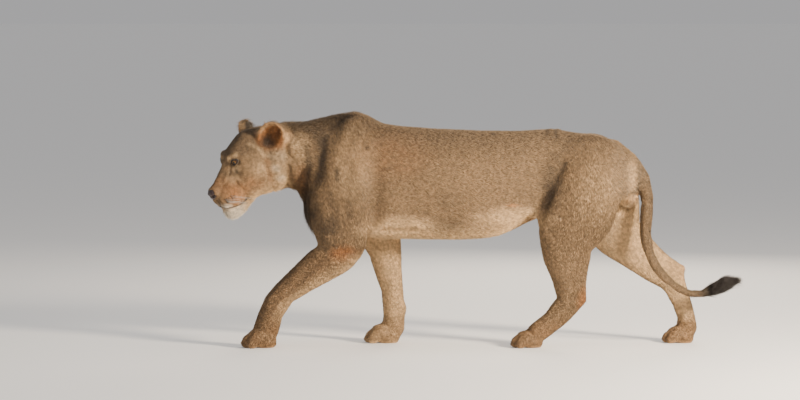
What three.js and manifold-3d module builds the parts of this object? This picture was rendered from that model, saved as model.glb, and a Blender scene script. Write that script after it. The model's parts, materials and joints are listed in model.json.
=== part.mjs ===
// A walking maneless male lion, life size, as a still museum model.
//
// Millimetres, +Z up. The lion walks towards -X, so its left side faces -Y. The origin is on the
// floor, under the middle of the model's box. The body is described once, as a smooth blend of tubes
// and ellipsoids; it is meshed block by block, and each block is then parted into its named pieces
// by thin cuts.
import * as THREE from "three";
import { mergeVertices } from "three/addons/utils/BufferGeometryUtils.js";
import Module from "manifold-3d";

const wasm = await Module();
wasm.setup();

// Driving dimensions

const CUT = 0.4; // width of the gap between neighbouring pieces
const FLOOR = -5; // level of the floor under the paws

// The trunk, as slices along X: [x, top, widest level, bottom, half width].
const TRUNK = [
  [-660, 1006, 800, 560, 88],
  [-600, 1030, 790, 505, 123],
  [-520, 1046, 780, 484, 142],
  [-455, 1030, 765, 478, 150],
  [-387, 998, 755, 475, 156],
  [-230, 982, 725, 470, 163],
  [-50, 972, 700, 468, 167],
  [90, 967, 695, 478, 163],
  [180, 966, 700, 508, 148],
  [280, 972, 720, 558, 128],
  [356, 976, 740, 590, 122],
  [446, 964, 745, 600, 126],
  [536, 948, 745, 605, 128],
  [603, 926, 745, 615, 119],
  [655, 892, 750, 640, 96],
];

// Tubes, as stations along a bent axis: [x, y, z, half depth from the side, half width from ahead].
const NECK = [
  [-560, 0, 815, 205, 140],
  [-650, -4, 830, 180, 130],
  [-750, -10, 853, 155, 118],
  [-830, -16, 852, 152, 112],
  [-890, -10, 843, 143, 104],
];
const BREAST = [
  [-652, -2, 680, 70, 90],
  [-674, 0, 600, 74, 90],
  [-640, 0, 540, 70, 96],
];

const LEFT_FORELEG = [
  [-520, -62, 990, 48, 30],
  [-560, -96, 870, 100, 50],
  [-606, -116, 730, 124, 68],
  [-606, -128, 620, 128, 72],
  [-580, -130, 515, 122, 68],
  [-588, -126, 428, 92, 60],
  [-672, -120, 366, 84, 54],
  [-780, -112, 285, 65, 48],
  [-866, -104, 212, 54, 44],
  [-896, -100, 150, 56, 45],
  [-916, -98, 84, 58, 48],
];
const RIGHT_FORELEG = [
  [-520, 62, 990, 48, 30],
  [-540, 96, 870, 100, 50],
  [-560, 116, 730, 124, 68],
  [-520, 128, 620, 122, 72],
  [-430, 126, 525, 108, 66],
  [-392, 120, 430, 82, 58],
  [-374, 114, 330, 66, 52],
  [-356, 106, 245, 53, 45],
  [-350, 100, 180, 52, 44],
  [-346, 98, 120, 50, 46],
  [-350, 98, 66, 52, 48],
];
const LEFT_HINDLEG = [
  [545, -64, 800, 150, 80],
  [500, -86, 700, 172, 84],
  [474, -100, 610, 176, 80],
  [436, -110, 520, 138, 70],
  [418, -112, 430, 106, 58],
  [424, -110, 340, 77, 48],
  [434, -106, 268, 65, 40],
  [440, -102, 205, 62, 36],
  [372, -100, 124, 50, 37],
  [300, -98, 66, 46, 46],
];
const RIGHT_HINDLEG = [
  [545, 64, 800, 150, 80],
  [590, 86, 700, 165, 84],
  [622, 100, 600, 150, 80],
  [660, 112, 500, 118, 70],
  [740, 116, 424, 96, 58],
  [840, 112, 338, 76, 46],
  [905, 106, 290, 66, 39],
  [944, 100, 215, 50, 36],
  [976, 98, 130, 43, 37],
  [984, 96, 66, 46, 45],
];
const LEFT_HEEL = [
  [510, -112, 400, 28, 22],
  [495, -108, 300, 23, 17],
  [494, -104, 210, 25, 20],
];
const RIGHT_HEEL = [
  [800, 116, 436, 28, 22],
  [890, 110, 370, 23, 17],
  [948, 104, 330, 25, 20],
];
const TAIL = [
  [632, 0, 874, 50, 44],
  [700, 0, 828, 40, 36],
  [764, -6, 766, 31, 31],
  [789, -16, 680, 28, 28],
  [789, -26, 585, 27, 27],
  [784, -34, 500, 25, 25],
  [800, -40, 420, 22, 22],
  [832, -46, 352, 21, 21],
  [876, -50, 300, 19, 19],
  [924, -54, 262, 17, 17],
  [982, -58, 234, 15, 15],
  [1040, -60, 232, 13, 13],
];
const TAIL_TUFT = [
  [1030, -60, 232, 13, 13],
  [1080, -62, 248, 24, 22],
  [1126, -64, 272, 30, 27],
  [1160, -64, 284, 22, 20],
  [1182, -64, 288, 8, 8],
];

// The head has its own frame: back from the nose tip, out to the lion's left, and up.
const HEAD = { noseTip: [-1182, -175, 702], pitch: 26, yaw: 34 };
const EYE = { at: [171, 47, 62], radius: 19.5 };
const EAR = {
  at: [352, 105, 94],
  up: [0.42, 0.42, 0.8],
  facing: [-0.64, 0.76, 0.05],
  radii: [60, 71, 40],
};

const TOES = [
  { forward: 44, side: -46 },
  { forward: 66, side: -17 },
  { forward: 66, side: 17 },
  { forward: 44, side: 46 },
];
// Where each paw stands, and how far it is turned from straight ahead, in degrees.
const PAWS = {
  left_forepaw: { at: [-936, -98], heading: 8, size: 1.0 },
  right_forepaw: { at: [-386, 96], heading: -6, size: 1.0 },
  left_hindpaw: { at: [262, -98], heading: 4, size: 0.9 },
  right_hindpaw: { at: [956, 95], heading: -4, size: 0.9 },
};

// Shapes as signed distances. Each shape has distance(x, y, z) and a box [low, high] that holds it.

const radians = (degrees) => (degrees * Math.PI) / 180;

function ellipsoid(at, radii, pitch = 0) {
  const [cx, cy, cz] = at;
  const [rx, ry, rz] = radii;
  const c = Math.cos(radians(pitch));
  const s = Math.sin(radians(pitch));
  const reach = Math.max(rx, ry, rz);
  return {
    box: [at.map((v) => v - reach), at.map((v) => v + reach)],
    distance(x, y, z) {
      const dx = x - cx;
      const dz = z - cz;
      const u = (dx * c - dz * s) / rx;
      const v = (y - cy) / ry;
      const w = (dx * s + dz * c) / rz;
      const k = Math.sqrt(u * u + v * v + w * w);
      const slope = Math.sqrt((u * u) / (rx * rx) + (v * v) / (ry * ry) + (w * w) / (rz * rz));
      return slope > 1e-9 ? (k * (k - 1)) / slope : -Math.min(rx, ry, rz);
    },
  };
}

// Stations made denser by a Catmull-Rom curve through them.
function refined(stations, steps) {
  const made = [];
  for (let i = 0; i + 1 < stations.length; i++) {
    const station = (j) => stations[THREE.MathUtils.clamp(j, 0, stations.length - 1)];
    const [p, q, r, s] = [i - 1, i, i + 1, i + 2].map(station);
    for (let n = 0; n < steps; n++) {
      const t = n / steps;
      made.push(q.map((_, k) => catmullRom(p[k], q[k], r[k], s[k], t)));
    }
  }
  made.push(stations.at(-1));
  return made;
}

function catmullRom(p, q, r, s, t) {
  const out = (r - p) / 2;
  const into = (s - q) / 2;
  return q + out * t + (3 * (r - q) - 2 * out - into) * t * t + (2 * (q - r) + out + into) * t * t * t;
}

// One stretch of a tube: an elliptic cone with round ends.
function tubeStretch(from, to) {
  const [ax, ay, az, ad, aw] = from;
  const [bx, by, bz, bd, bw] = to;
  const [dx, dy, dz] = [bx - ax, by - ay, bz - az];
  const length2 = dx * dx + dy * dy + dz * dz;
  const reach = Math.max(ad, aw, bd, bw);
  return {
    box: [
      [Math.min(ax, bx) - reach, Math.min(ay, by) - reach, Math.min(az, bz) - reach],
      [Math.max(ax, bx) + reach, Math.max(ay, by) + reach, Math.max(az, bz) + reach],
    ],
    distance(x, y, z) {
      const t = Math.min(1, Math.max(0, ((x - ax) * dx + (y - ay) * dy + (z - az) * dz) / length2));
      const depth = ad + (bd - ad) * t;
      const width = aw + (bw - aw) * t;
      const u = x - ax - dx * t;
      const v = y - ay - dy * t;
      const w = z - az - dz * t;
      const inPlane = (u * u + w * w) / (depth * depth);
      const across = (v * v) / (width * width);
      const k = Math.sqrt(inPlane + across);
      const slope = Math.sqrt(inPlane / (depth * depth) + across / (width * width));
      return slope > 1e-9 ? (k * (k - 1)) / slope : -Math.min(depth, width);
    },
  };
}

const tube = (stations, steps = 3) => {
  const points = refined(stations, steps);
  return union(points.slice(1).map((to, i) => [tubeStretch(points[i], to), 0]));
};

// The trunk, from its slices. Above its widest level a slice is narrower shouldered than below.
function trunk(slices) {
  const points = refined(slices, 4);
  const first = points[0][0];
  const last = points.at(-1)[0];
  return {
    box: [
      [first - 160, -260, 420],
      [last + 160, 260, 1100],
    ],
    distance(x, y, z) {
      const at = Math.min(last, Math.max(first, x));
      let i = 1;
      while (i < points.length - 1 && points[i][0] < at) i++;
      const a = points[i - 1];
      const b = points[i];
      const t = (at - a[0]) / (b[0] - a[0]);
      const top = a[1] + (b[1] - a[1]) * t;
      const level = a[2] + (b[2] - a[2]) * t;
      const bottom = a[3] + (b[3] - a[3]) * t;
      const width = a[4] + (b[4] - a[4]) * t;
      const height = z > level ? top - level : level - bottom;
      const power = z > level ? 2.0 : 2.3;
      const past = (x - at) / 110;
      const sideways = Math.abs(y) / width;
      const upright = Math.abs(z - level) / height;
      const k = Math.pow(Math.pow(sideways, power) + Math.pow(upright, power) + past * past, 1 / power);
      const share = sideways + upright;
      const along = share > 1e-6 ? (width * sideways + height * upright) / share : width;
      return (k - 1) * along * 0.85;
    },
  };
}

function boxDistance([low, high], x, y, z) {
  const dx = Math.max(low[0] - x, 0, x - high[0]);
  const dy = Math.max(low[1] - y, 0, y - high[1]);
  const dz = Math.max(low[2] - z, 0, z - high[2]);
  return Math.sqrt(dx * dx + dy * dy + dz * dz);
}

function smoothLeast(a, b, blend) {
  if (blend <= 0) return Math.min(a, b);
  const h = Math.max(blend - Math.abs(a - b), 0) / blend;
  return Math.min(a, b) - (h * h * blend) / 4;
}

function box(low, high) {
  const middle = low.map((v, i) => (v + high[i]) / 2);
  const half = high.map((v, i) => (v - low[i]) / 2);
  return {
    box: [low, high],
    distance(x, y, z) {
      return Math.max(
        Math.abs(x - middle[0]) - half[0],
        Math.abs(y - middle[1]) - half[1],
        Math.abs(z - middle[2]) - half[2],
      );
    },
  };
}

const boxAround = (boxes) => [
  [0, 1, 2].map((i) => Math.min(...boxes.map((b) => b[0][i]))),
  [0, 1, 2].map((i) => Math.max(...boxes.map((b) => b[1][i]))),
];

// A smooth blend of [shape, blend radius] pairs. One with a third value "carve" is taken away.
function union(parts) {
  const added = parts.filter((part) => part[2] !== "carve");
  const grown = ({ box: [low, high] }, by) => [low.map((v) => v - by), high.map((v) => v + by)];
  return {
    box: boxAround(added.map(([shape, blend]) => grown(shape, blend))),
    distance(x, y, z) {
      let d = 1e6;
      for (let i = 0; i < parts.length; i++) {
        const [shape, blend, mode] = parts[i];
        const away = boxDistance(shape.box, x, y, z);
        if (mode === "carve") {
          if (away < blend + 1) d = -smoothLeast(-d, shape.distance(x, y, z), blend);
        } else if (away <= Math.max(d, 0) + blend) {
          d = smoothLeast(d, shape.distance(x, y, z), blend);
        }
      }
      return d;
    },
  };
}

// A shape given in a frame of its own: origin, and three unit axes.
function placed(shape, origin, axes) {
  const [ox, oy, oz] = origin;
  const [[ax, ay, az], [bx, by, bz], [cx, cy, cz]] = axes;
  const corners = [];
  for (const i of [0, 1])
    for (const j of [0, 1])
      for (const k of [0, 1]) {
        const [u, v, w] = [shape.box[i][0], shape.box[j][1], shape.box[k][2]];
        corners.push(origin.map((o, n) => o + axes[0][n] * u + axes[1][n] * v + axes[2][n] * w));
      }
  return {
    box: boxAround(corners.map((corner) => [corner, corner])),
    distance(x, y, z) {
      const dx = x - ox;
      const dy = y - oy;
      const dz = z - oz;
      return shape.distance(
        dx * ax + dy * ay + dz * az,
        dx * bx + dy * by + dz * bz,
        dx * cx + dy * cy + dz * cz,
      );
    },
  };
}

// The same part on the lion's left and right.
const pair = (make) => [make(1), make(-1)];

// The head, in its own frame: [back, out, up] from the nose tip

const headAxes = (() => {
  const turn = new THREE.Matrix4()
    .makeRotationZ(radians(HEAD.yaw))
    .multiply(new THREE.Matrix4().makeRotationY(radians(-HEAD.pitch)));
  const backOutUp = [
    [1, 0, 0],
    [0, -1, 0],
    [0, 0, 1],
  ];
  return backOutUp.map((v) => new THREE.Vector3(...v).transformDirection(turn).toArray());
})();

const fromHead = (local) =>
  HEAD.noseTip.map((v, n) => v + local.reduce((sum, u, i) => sum + u * headAxes[i][n], 0));

// An ear's own frame, in the head's: across the ear, up it, and the way it faces.
function earFrame(side) {
  const up = new THREE.Vector3(...EAR.up).normalize();
  const facing = new THREE.Vector3(...EAR.facing).projectOnPlane(up).normalize();
  const across = new THREE.Vector3().crossVectors(up, facing);
  return {
    origin: [EAR.at[0], EAR.at[1] * side, EAR.at[2]],
    axes: [across, up, facing].map((v) => [v.x, v.y * side, v.z]),
  };
}

// The room around an ear, beyond the cut at its base.
const EAR_ROOM = [
  [-64, -34, -50],
  [64, 92, 76],
];

// An ear: a cup that opens forward and outward.
function ear(side) {
  const [sx, sy, sz] = EAR.radii;
  const { origin, axes } = earFrame(side);
  const cup = union([
    [ellipsoid([0, 0, 0], [sx, sy, sz]), 0],
    [ellipsoid([0, -46, -8], [44, 44, 34]), 24],
    [ellipsoid([0, 4, 22], [sx - 9, sy - 9, sz + 9]), 9, "carve"],
  ]);
  return placed(cup, origin, axes);
}

const eyeSocket = (side) =>
  ellipsoid([EYE.at[0] - 20, side * (EYE.at[1] + 16), EYE.at[2] + 1], [28, 23, 14], 10);
const NOSE_BRIDGE = [
  [184, 0, 40, 50, 45],
  [116, 0, 2, 44, 33],
  [72, 0, -18, 38, 31],
  [42, 0, -28, 32, 30],
];
const JAW = [
  [86, 0, -142, 41, 37],
  [122, 0, -134, 42, 46],
  [186, 0, -100, 46, 62],
  [250, 0, -84, 61, 82],
];
const brow = (side) => [
  [164, side * 30, 80, 12, 13],
  [178, side * 48, 86, 13, 14],
  [204, side * 68, 72, 13, 14],
];

const HEAD_SHAPE = union([
  [ellipsoid([288, 0, 54], [106, 86, 97], -6), 0], // braincase
  [ellipsoid([208, 0, 48], [72, 68, 62], 24), 40], // forehead
  ...pair((side) => [ellipsoid([240, side * 70, 4], [88, 50, 74]), 40]), // cheekbones
  ...pair((side) => [ellipsoid([266, side * 68, -56], [84, 48, 80], -8), 40]), // chewing muscles
  ...pair((side) => [ellipsoid([178, side * 52, -62], [52, 32, 52], -10), 30]), // mouth's corners
  ...pair((side) => [ellipsoid([146, side * 35, -14], [64, 25, 50], 14), 30]), // under the eyes
  [tube(NOSE_BRIDGE), 20],
  ...pair((side) => [ellipsoid([80, side * 28, -72], [54, 33, 44], 10), 20]), // whisker pads
  ...pair((side) => [ellipsoid([118, side * 41, -84], [52, 26, 41], 0), 20]), // hanging lips
  [ellipsoid([84, 0, -98], [48, 40, 40]), 14], // closed mouth
  [tube(JAW), 12],
  ...pair((side) => [tube(brow(side)), 22]),
  [ellipsoid([27, 0, -27], [21, 33, 29], 10), 10], // nose pad
  ...pair((side) => [eyeSocket(side), 8, "carve"]),
  ...pair((side) => [ear(side), 18]),
]);

const head = placed(HEAD_SHAPE, HEAD.noseTip, headAxes);

// The body

// A paw in its own frame: forward, to the lion's left, and up.
function paw({ at, heading, size }) {
  const turn = radians(heading);
  const axes = [
    [-Math.cos(turn), -Math.sin(turn), 0],
    [Math.sin(turn), -Math.cos(turn), 0],
    [0, 0, 1],
  ];
  const s = size;
  const parts = [
    [ellipsoid([2 * s, 0, 40 * s], [66 * s, 60 * s, 44 * s], -14), 0],
    [ellipsoid([-18 * s, 0, 14 * s], [44 * s, 44 * s, 22 * s]), 16],
  ];
  for (const { forward, side } of TOES) {
    const outer = Math.abs(side) > 30 ? 1 : 0;
    const knuckle = [(forward - 12) * s, side * s, 36 * s];
    const tip = [(forward + 6) * s, side * s, (19 - outer) * s];
    parts.push([ellipsoid(knuckle, [40 * s, 17 * s, 27 * s], 24), 8]);
    parts.push([ellipsoid(tip, [25 * s, 17 * s, 20 * s], 8), 6]);
  }
  return placed(union(parts), [...at, FLOOR], axes);
}

const BODY_SHAPE = union([
  [trunk(TRUNK), 0],
  ...pair((side) => [ellipsoid([702, side * 17, 668], [32, 21, 40]), 10]), // scrotum
  [tube(NECK), 60],
  [tube(BREAST), 36],
  [tube(LEFT_FORELEG), 34],
  [tube(RIGHT_FORELEG), 34],
  [tube(LEFT_HINDLEG), 40],
  [tube(RIGHT_HINDLEG), 40],
  [tube(LEFT_HEEL), 16],
  [tube(RIGHT_HEEL), 16],
  [ellipsoid([-840, -98, 170], [20, 20, 30], 30), 20], // carpal pads
  [ellipsoid([-308, 98, 150], [20, 20, 30], 0), 20],
]);

const LION = union([
  [BODY_SHAPE, 0],
  ...Object.values(PAWS).map((place) => [paw(place), 18]),
  [head, 46],
  [tube(TAIL), 26],
  [tube(TAIL_TUFT), 4],
]);

// Meshing: marching tetrahedra, then edge collapse by quadric error

const AXIS_ORDERS = [
  [0, 1, 2],
  [1, 2, 0],
  [2, 0, 1],
  [0, 2, 1],
  [2, 1, 0],
  [1, 0, 2],
];

// The closed surface where distance is 0, cut off flat at the sides of the box from low to high.
function polygonise(distance, low, high, cell) {
  const n = low.map((v, i) => Math.ceil((high[i] - v) / cell) + 1);
  const stride = [1, n[0], n[0] * n[1]];
  const values = new Float32Array(n[0] * n[1] * n[2]);
  const toSide = (i, count) => 0.5 - Math.min(i, count - 1 - i);
  for (let k = 0, at = 0; k < n[2]; k++)
    for (let j = 0; j < n[1]; j++)
      for (let i = 0; i < n[0]; i++, at++) {
        const side = cell * Math.max(toSide(i, n[0]), toSide(j, n[1]), toSide(k, n[2]));
        values[at] = Math.max(side, distance(low[0] + i * cell, low[1] + j * cell, low[2] + k * cell));
      }

  const points = [];
  const faces = [];
  const known = new Map();
  const place = (index) =>
    [index % n[0], Math.floor(index / n[0]) % n[1], Math.floor(index / stride[2])];
  const onEdge = (a, b) => {
    const [p, q] = a < b ? [a, b] : [b, a];
    const key = p * 8 + AXIS_CODE.get(q - p);
    if (!known.has(key)) {
      const t = THREE.MathUtils.clamp(values[p] / (values[p] - values[q]), 0.06, 0.94);
      const [from, to] = [place(p), place(q)];
      points.push(from.map((v, i) => low[i] + (v + (to[i] - v) * t) * cell));
      known.set(key, points.length - 1);
    }
    return known.get(key);
  };
  const AXIS_CODE = new Map();
  for (let code = 1; code < 8; code++)
    AXIS_CODE.set(stride.reduce((sum, step, axis) => sum + ((code >> axis) & 1) * step, 0), code);

  for (let k = 0; k + 1 < n[2]; k++)
    for (let j = 0; j + 1 < n[1]; j++)
      for (let i = 0; i + 1 < n[0]; i++) {
        const base = i + j * stride[1] + k * stride[2];
        let inside = 0;
        for (let c = 0; c < 8; c++) {
          const step = (c & 1) + ((c >> 1) & 1) * stride[1] + ((c >> 2) & 1) * stride[2];
          inside += values[base + step] < 0;
        }
        if (inside === 0 || inside === 8) continue;
        AXIS_ORDERS.forEach((order, turn) => {
          const tet = [base];
          for (const axis of order) tet.push(tet.at(-1) + stride[axis]);
          const flip = turn > 2;
          tetrahedron(tet, tet.map((v) => values[v] < 0), flip, onEdge, faces);
        });
      }
  return { points, faces };
}

// The one or two triangles that part a tetrahedron's inner corners from its outer ones, facing out.
function tetrahedron(tet, inner, flip, onEdge, faces) {
  const count = inner.filter(Boolean).length;
  if (count === 0 || count === 4) return;
  const add = (a, b, c, turned) => faces.push(turned ? [a, c, b] : [a, b, c]);
  if (count === 2) {
    const [p, q] = [0, 1, 2, 3].filter((i) => inner[i]);
    const [r, s] = [0, 1, 2, 3].filter((i) => !inner[i]);
    const turned = flip !== ((p + q) % 2 === 0);
    const crossed = [[p, r], [p, s], [q, s], [q, r]];
    const corners = crossed.map(([from, to]) => onEdge(tet[from], tet[to]));
    add(corners[0], corners[1], corners[2], turned);
    add(corners[0], corners[2], corners[3], turned);
    return;
  }
  const alone = inner.findIndex((v) => v === (count === 1));
  const others = [0, 1, 2, 3].filter((i) => i !== alone);
  const turned = (flip !== (alone % 2 === 1)) !== (count === 3);
  add(...others.map((i) => onEdge(tet[alone], tet[i])), turned);
}

// A heap of numbered items, least cost first.
class Heap {
  items = [];
  push(item) {
    const { items } = this;
    let i = items.length;
    items.push(item);
    while (i > 0) {
      const parent = (i - 1) >> 1;
      if (items[parent].cost <= item.cost) break;
      items[i] = items[parent];
      i = parent;
    }
    items[i] = item;
  }
  pop() {
    const { items } = this;
    const first = items[0];
    const last = items.pop();
    if (items.length) {
      let i = 0;
      for (;;) {
        let child = 2 * i + 1;
        if (child >= items.length) break;
        if (child + 1 < items.length && items[child + 1].cost < items[child].cost) child++;
        if (items[child].cost >= last.cost) break;
        items[i] = items[child];
        i = child;
      }
      items[i] = last;
    }
    return first;
  }
}

const minus = (a, b) => [a[0] - b[0], a[1] - b[1], a[2] - b[2]];
const dot = (a, b) => a[0] * b[0] + a[1] * b[1] + a[2] * b[2];
const cross = (a, b) => [
  a[1] * b[2] - a[2] * b[1],
  a[2] * b[0] - a[0] * b[2],
  a[0] * b[1] - a[1] * b[0],
];

// The quadric of a plane, as the ten numbers of its symmetric matrix.
function planeQuadric(a, b, c) {
  const normal = cross(minus(b, a), minus(c, a));
  const area = Math.hypot(...normal);
  const [x, y, z] = normal.map((v) => v / (area || 1));
  const w = -dot([x, y, z], a);
  return [x * x, x * y, x * z, x * w, y * y, y * z, y * w, z * z, z * w, w * w].map((v) => v * area);
}

function quadricError(q, [x, y, z]) {
  return (
    q[0] * x * x + 2 * q[1] * x * y + 2 * q[2] * x * z + 2 * q[3] * x +
    q[4] * y * y + 2 * q[5] * y * z + 2 * q[6] * y +
    q[7] * z * z + 2 * q[8] * z + q[9]
  );
}

// The point of least error, or null where the quadric is too flat to have one.
function bestPoint(q) {
  const [a, b, c, d, e, f, g, h, i] = q;
  const det = a * (e * h - f * f) - b * (b * h - f * c) + c * (b * f - e * c);
  const scale = Math.pow(a + e + h, 3);
  if (Math.abs(det) < 1e-4 * scale) return null;
  const x = -(d * (e * h - f * f) - b * (g * h - f * i) + c * (g * f - e * i)) / det;
  const y = -(a * (g * h - i * f) - d * (b * h - f * c) + c * (b * i - g * c)) / det;
  const z = -(a * (e * i - g * f) - b * (b * i - g * c) + d * (b * f - e * c)) / det;
  return [x, y, z];
}

const facing = ([a, b, c]) => cross(minus(b, a), minus(c, a));

// A triangle's area over the square of its longest side.
function roundness(corners) {
  const longest = Math.max(...corners.map((p, i) => Math.hypot(...minus(p, corners[(i + 1) % 3]))));
  return Math.hypot(...facing(corners)) / (longest * longest);
}

// Collapses edges, cheapest first, until the mesh has about target faces. The mesh stays closed.
function simplify({ points, faces }, target) {
  const quadrics = points.map(() => new Array(10).fill(0));
  const around = points.map(() => new Set());
  faces.forEach((face, f) => {
    const quadric = planeQuadric(...face.map((v) => points[v]));
    for (const v of face) {
      around[v].add(f);
      quadric.forEach((value, i) => (quadrics[v][i] += value));
    }
  });
  const stamp = new Uint32Array(points.length);
  const neighbours = (v) => {
    const found = new Set();
    for (const f of around[v]) for (const u of faces[f]) if (u !== v) found.add(u);
    return found;
  };
  const offer = (heap, u, v) => {
    const sum = quadrics[u].map((value, i) => value + quadrics[v][i]);
    const middle = points[u].map((value, i) => (value + points[v][i]) / 2);
    const length2 = dot(minus(points[u], points[v]), minus(points[u], points[v]));
    let goal = bestPoint(sum);
    if (!goal || dot(minus(goal, middle), minus(goal, middle)) > length2) goal = middle;
    const cost = Math.max(0, quadricError(sum, goal)) + length2 * length2 * 1e-5;
    heap.push({ cost, u, v, goal, stamps: stamp[u] + stamp[v] });
  };
  const keepsShape = (v, other, goal) => {
    for (const f of around[v]) {
      const face = faces[f];
      if (face.includes(other)) continue;
      const old = face.map((i) => points[i]);
      const now = face.map((i) => (i === v ? goal : points[i]));
      const [before, after] = [facing(old), facing(now)];
      const [was, is] = [roundness(old), roundness(now)];
      const alike = dot(before, after) / (Math.hypot(...before) * Math.hypot(...after));
      if (was > 0.02 && !(alike >= 0.3)) return false;
      if (is < 0.08 && is < was) return false;
    }
    return true;
  };

  let left = faces.length;
  const collapse = ({ u, v, goal, stamps }, heap) => {
    if (!around[u] || !around[v] || stamp[u] + stamp[v] !== stamps) return;
    const shared = [...around[u]].filter((f) => around[v].has(f));
    if (shared.length !== 2) return;
    const beside = neighbours(v);
    if ([...neighbours(u)].filter((w) => beside.has(w)).length !== 2) return;
    if (!keepsShape(u, v, goal) || !keepsShape(v, u, goal)) return;
    for (const f of shared) {
      for (const w of faces[f]) around[w].delete(f);
      faces[f] = null;
    }
    for (const f of around[v]) {
      faces[f] = faces[f].map((w) => (w === v ? u : w));
      around[u].add(f);
    }
    quadrics[v].forEach((value, i) => (quadrics[u][i] += value));
    points[u] = goal;
    around[v] = null;
    stamp[u] += 1;
    left -= 2;
    neighbours(u).forEach((w) => offer(heap, u, w));
  };

  // Each round offers every edge anew, so that one refused earlier has another turn.
  for (let before = Infinity; left > target && left < before; ) {
    before = left;
    const heap = new Heap();
    around.forEach((held, v) => {
      if (held) neighbours(v).forEach((u) => u > v && offer(heap, v, u));
    });
    while (left > Math.max(target, before * 0.5) && heap.items.length) collapse(heap.pop(), heap);
  }
  const used = [...new Set(faces.filter(Boolean).flat())];
  const renumbered = new Map(used.map((v, i) => [v, i]));
  return {
    points: used.map((v) => points[v]),
    faces: faces.filter(Boolean).map((face) => face.map((v) => renumbered.get(v))),
  };
}

// Solids

const solidOf = ({ points, faces }) =>
  new wasm.Manifold(
    new wasm.Mesh({
      numProp: 3,
      vertProperties: new Float32Array(points.flat()),
      triVerts: new Uint32Array(faces.flat()),
    }),
  );

function solidFromGeometry(geometry) {
  const bare = geometry.clone();
  bare.deleteAttribute("normal");
  bare.deleteAttribute("uv");
  const merged = mergeVertices(bare, 1e-3);
  return new wasm.Manifold(
    new wasm.Mesh({
      numProp: 3,
      vertProperties: merged.attributes.position.array,
      triVerts: new Uint32Array(merged.index.array),
    }),
  );
}

function geometryOf(solid) {
  const { numProp, vertProperties, triVerts, numVert } = solid.getMesh();
  const places = new Float32Array(numVert * 3);
  for (let i = 0; i < numVert; i++)
    places.set(vertProperties.subarray(i * numProp, i * numProp + 3), i * 3);
  const geometry = new THREE.BufferGeometry();
  geometry.setAttribute("position", new THREE.BufferAttribute(places, 3));
  geometry.setIndex(new THREE.BufferAttribute(triVerts, 1));
  geometry.computeVertexNormals();
  return geometry;
}

// All of space behind the plane through point, short of it by inset.
function behind(point, normal, inset = CUT / 2) {
  const size = 4000;
  const direction = new THREE.Vector3(...normal).normalize();
  const geometry = new THREE.BoxGeometry(size, size, size);
  geometry.translate(0, 0, -size / 2 - inset);
  const upright = new THREE.Vector3(0, 0, 1);
  geometry.applyQuaternion(new THREE.Quaternion().setFromUnitVectors(upright, direction));
  geometry.translate(...point);
  return solidFromGeometry(geometry);
}

// The largest of a solid's separate bodies: cuts can leave crumbs.
const mainBody = (solid) =>
  solid.decompose().reduce((a, b) => (b.volume() > a.volume() ? b : a));

// A box in a frame of its own, from its low corner to its high one.
function framedBox(origin, axes, low, high) {
  const geometry = new THREE.BoxGeometry(...high.map((v, i) => v - low[i]));
  geometry.translate(...high.map((v, i) => (v + low[i]) / 2));
  const basis = new THREE.Matrix4().makeBasis(...axes.map((v) => new THREE.Vector3(...v)));
  if (basis.determinant() < 0) {
    geometry.scale(-1, 1, 1);
    geometry.index.array.reverse();
    const mirrored = axes.map((v, i) => new THREE.Vector3(...v).multiplyScalar(i ? 1 : -1));
    basis.makeBasis(...mirrored);
  }
  return solidFromGeometry(geometry.applyMatrix4(basis.setPosition(...origin)));
}

const pieces = new Map();
const keep = (name, solid) => pieces.set(name, mainBody(solid));

// The blocks, and the cuts that part them

// Planes, as a point and a normal. The normal points to the second of the two pieces named.
const PLANES = {
  headNeck: [[-812, 0, 850], [1, 0, 0]],
  neckChest: [[-650, 0, 800], [0.936, 0, -0.351]],
  chestAbdomen: [[-130, 0, 700], [1, 0, 0]],
  abdomenRump: [[290, 0, 560], [0.95, 0, -0.31]],
  rumpTail: [[712, 0, 800], [1, 0, 0]],
};

const floorUp = behind([0, 0, FLOOR], [0, 0, -1], 0);
const before = ([point, normal], inset) => behind(point, normal, inset);
const after = ([point, normal], inset) => behind(point, normal.map((v) => -v), inset);
const within = (solid, ...spaces) => spaces.reduce((left, space) => left.intersect(space), solid);

// The room of the tail: behind the rump, clear of the right thigh.
function tailRoom(inset) {
  const left = behind([0, 34, 0], [0, 1, 0], inset);
  const above = behind([0, 0, 775], [0, 0, -1], inset);
  return after(PLANES.rumpTail, inset).intersect(left.add(above));
}

// Where a block reaches past its pieces, it leaves out the rest of the lion: outside is above 0 there.
const without = (shape, outside) => (x, y, z) => Math.max(shape.distance(x, y, z), outside(x, y, z));
const earRooms = pair((side) => {
  const { origin, axes } = earFrame(side);
  const room = box(EAR_ROOM[0].map((v) => v + 8), EAR_ROOM[1]);
  return placed(placed(room, origin, axes), HEAD.noseTip, headAxes);
});
const beyondEars = (x, y, z) => -Math.min(...earRooms.map((room) => room.distance(x, y, z)));

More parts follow.
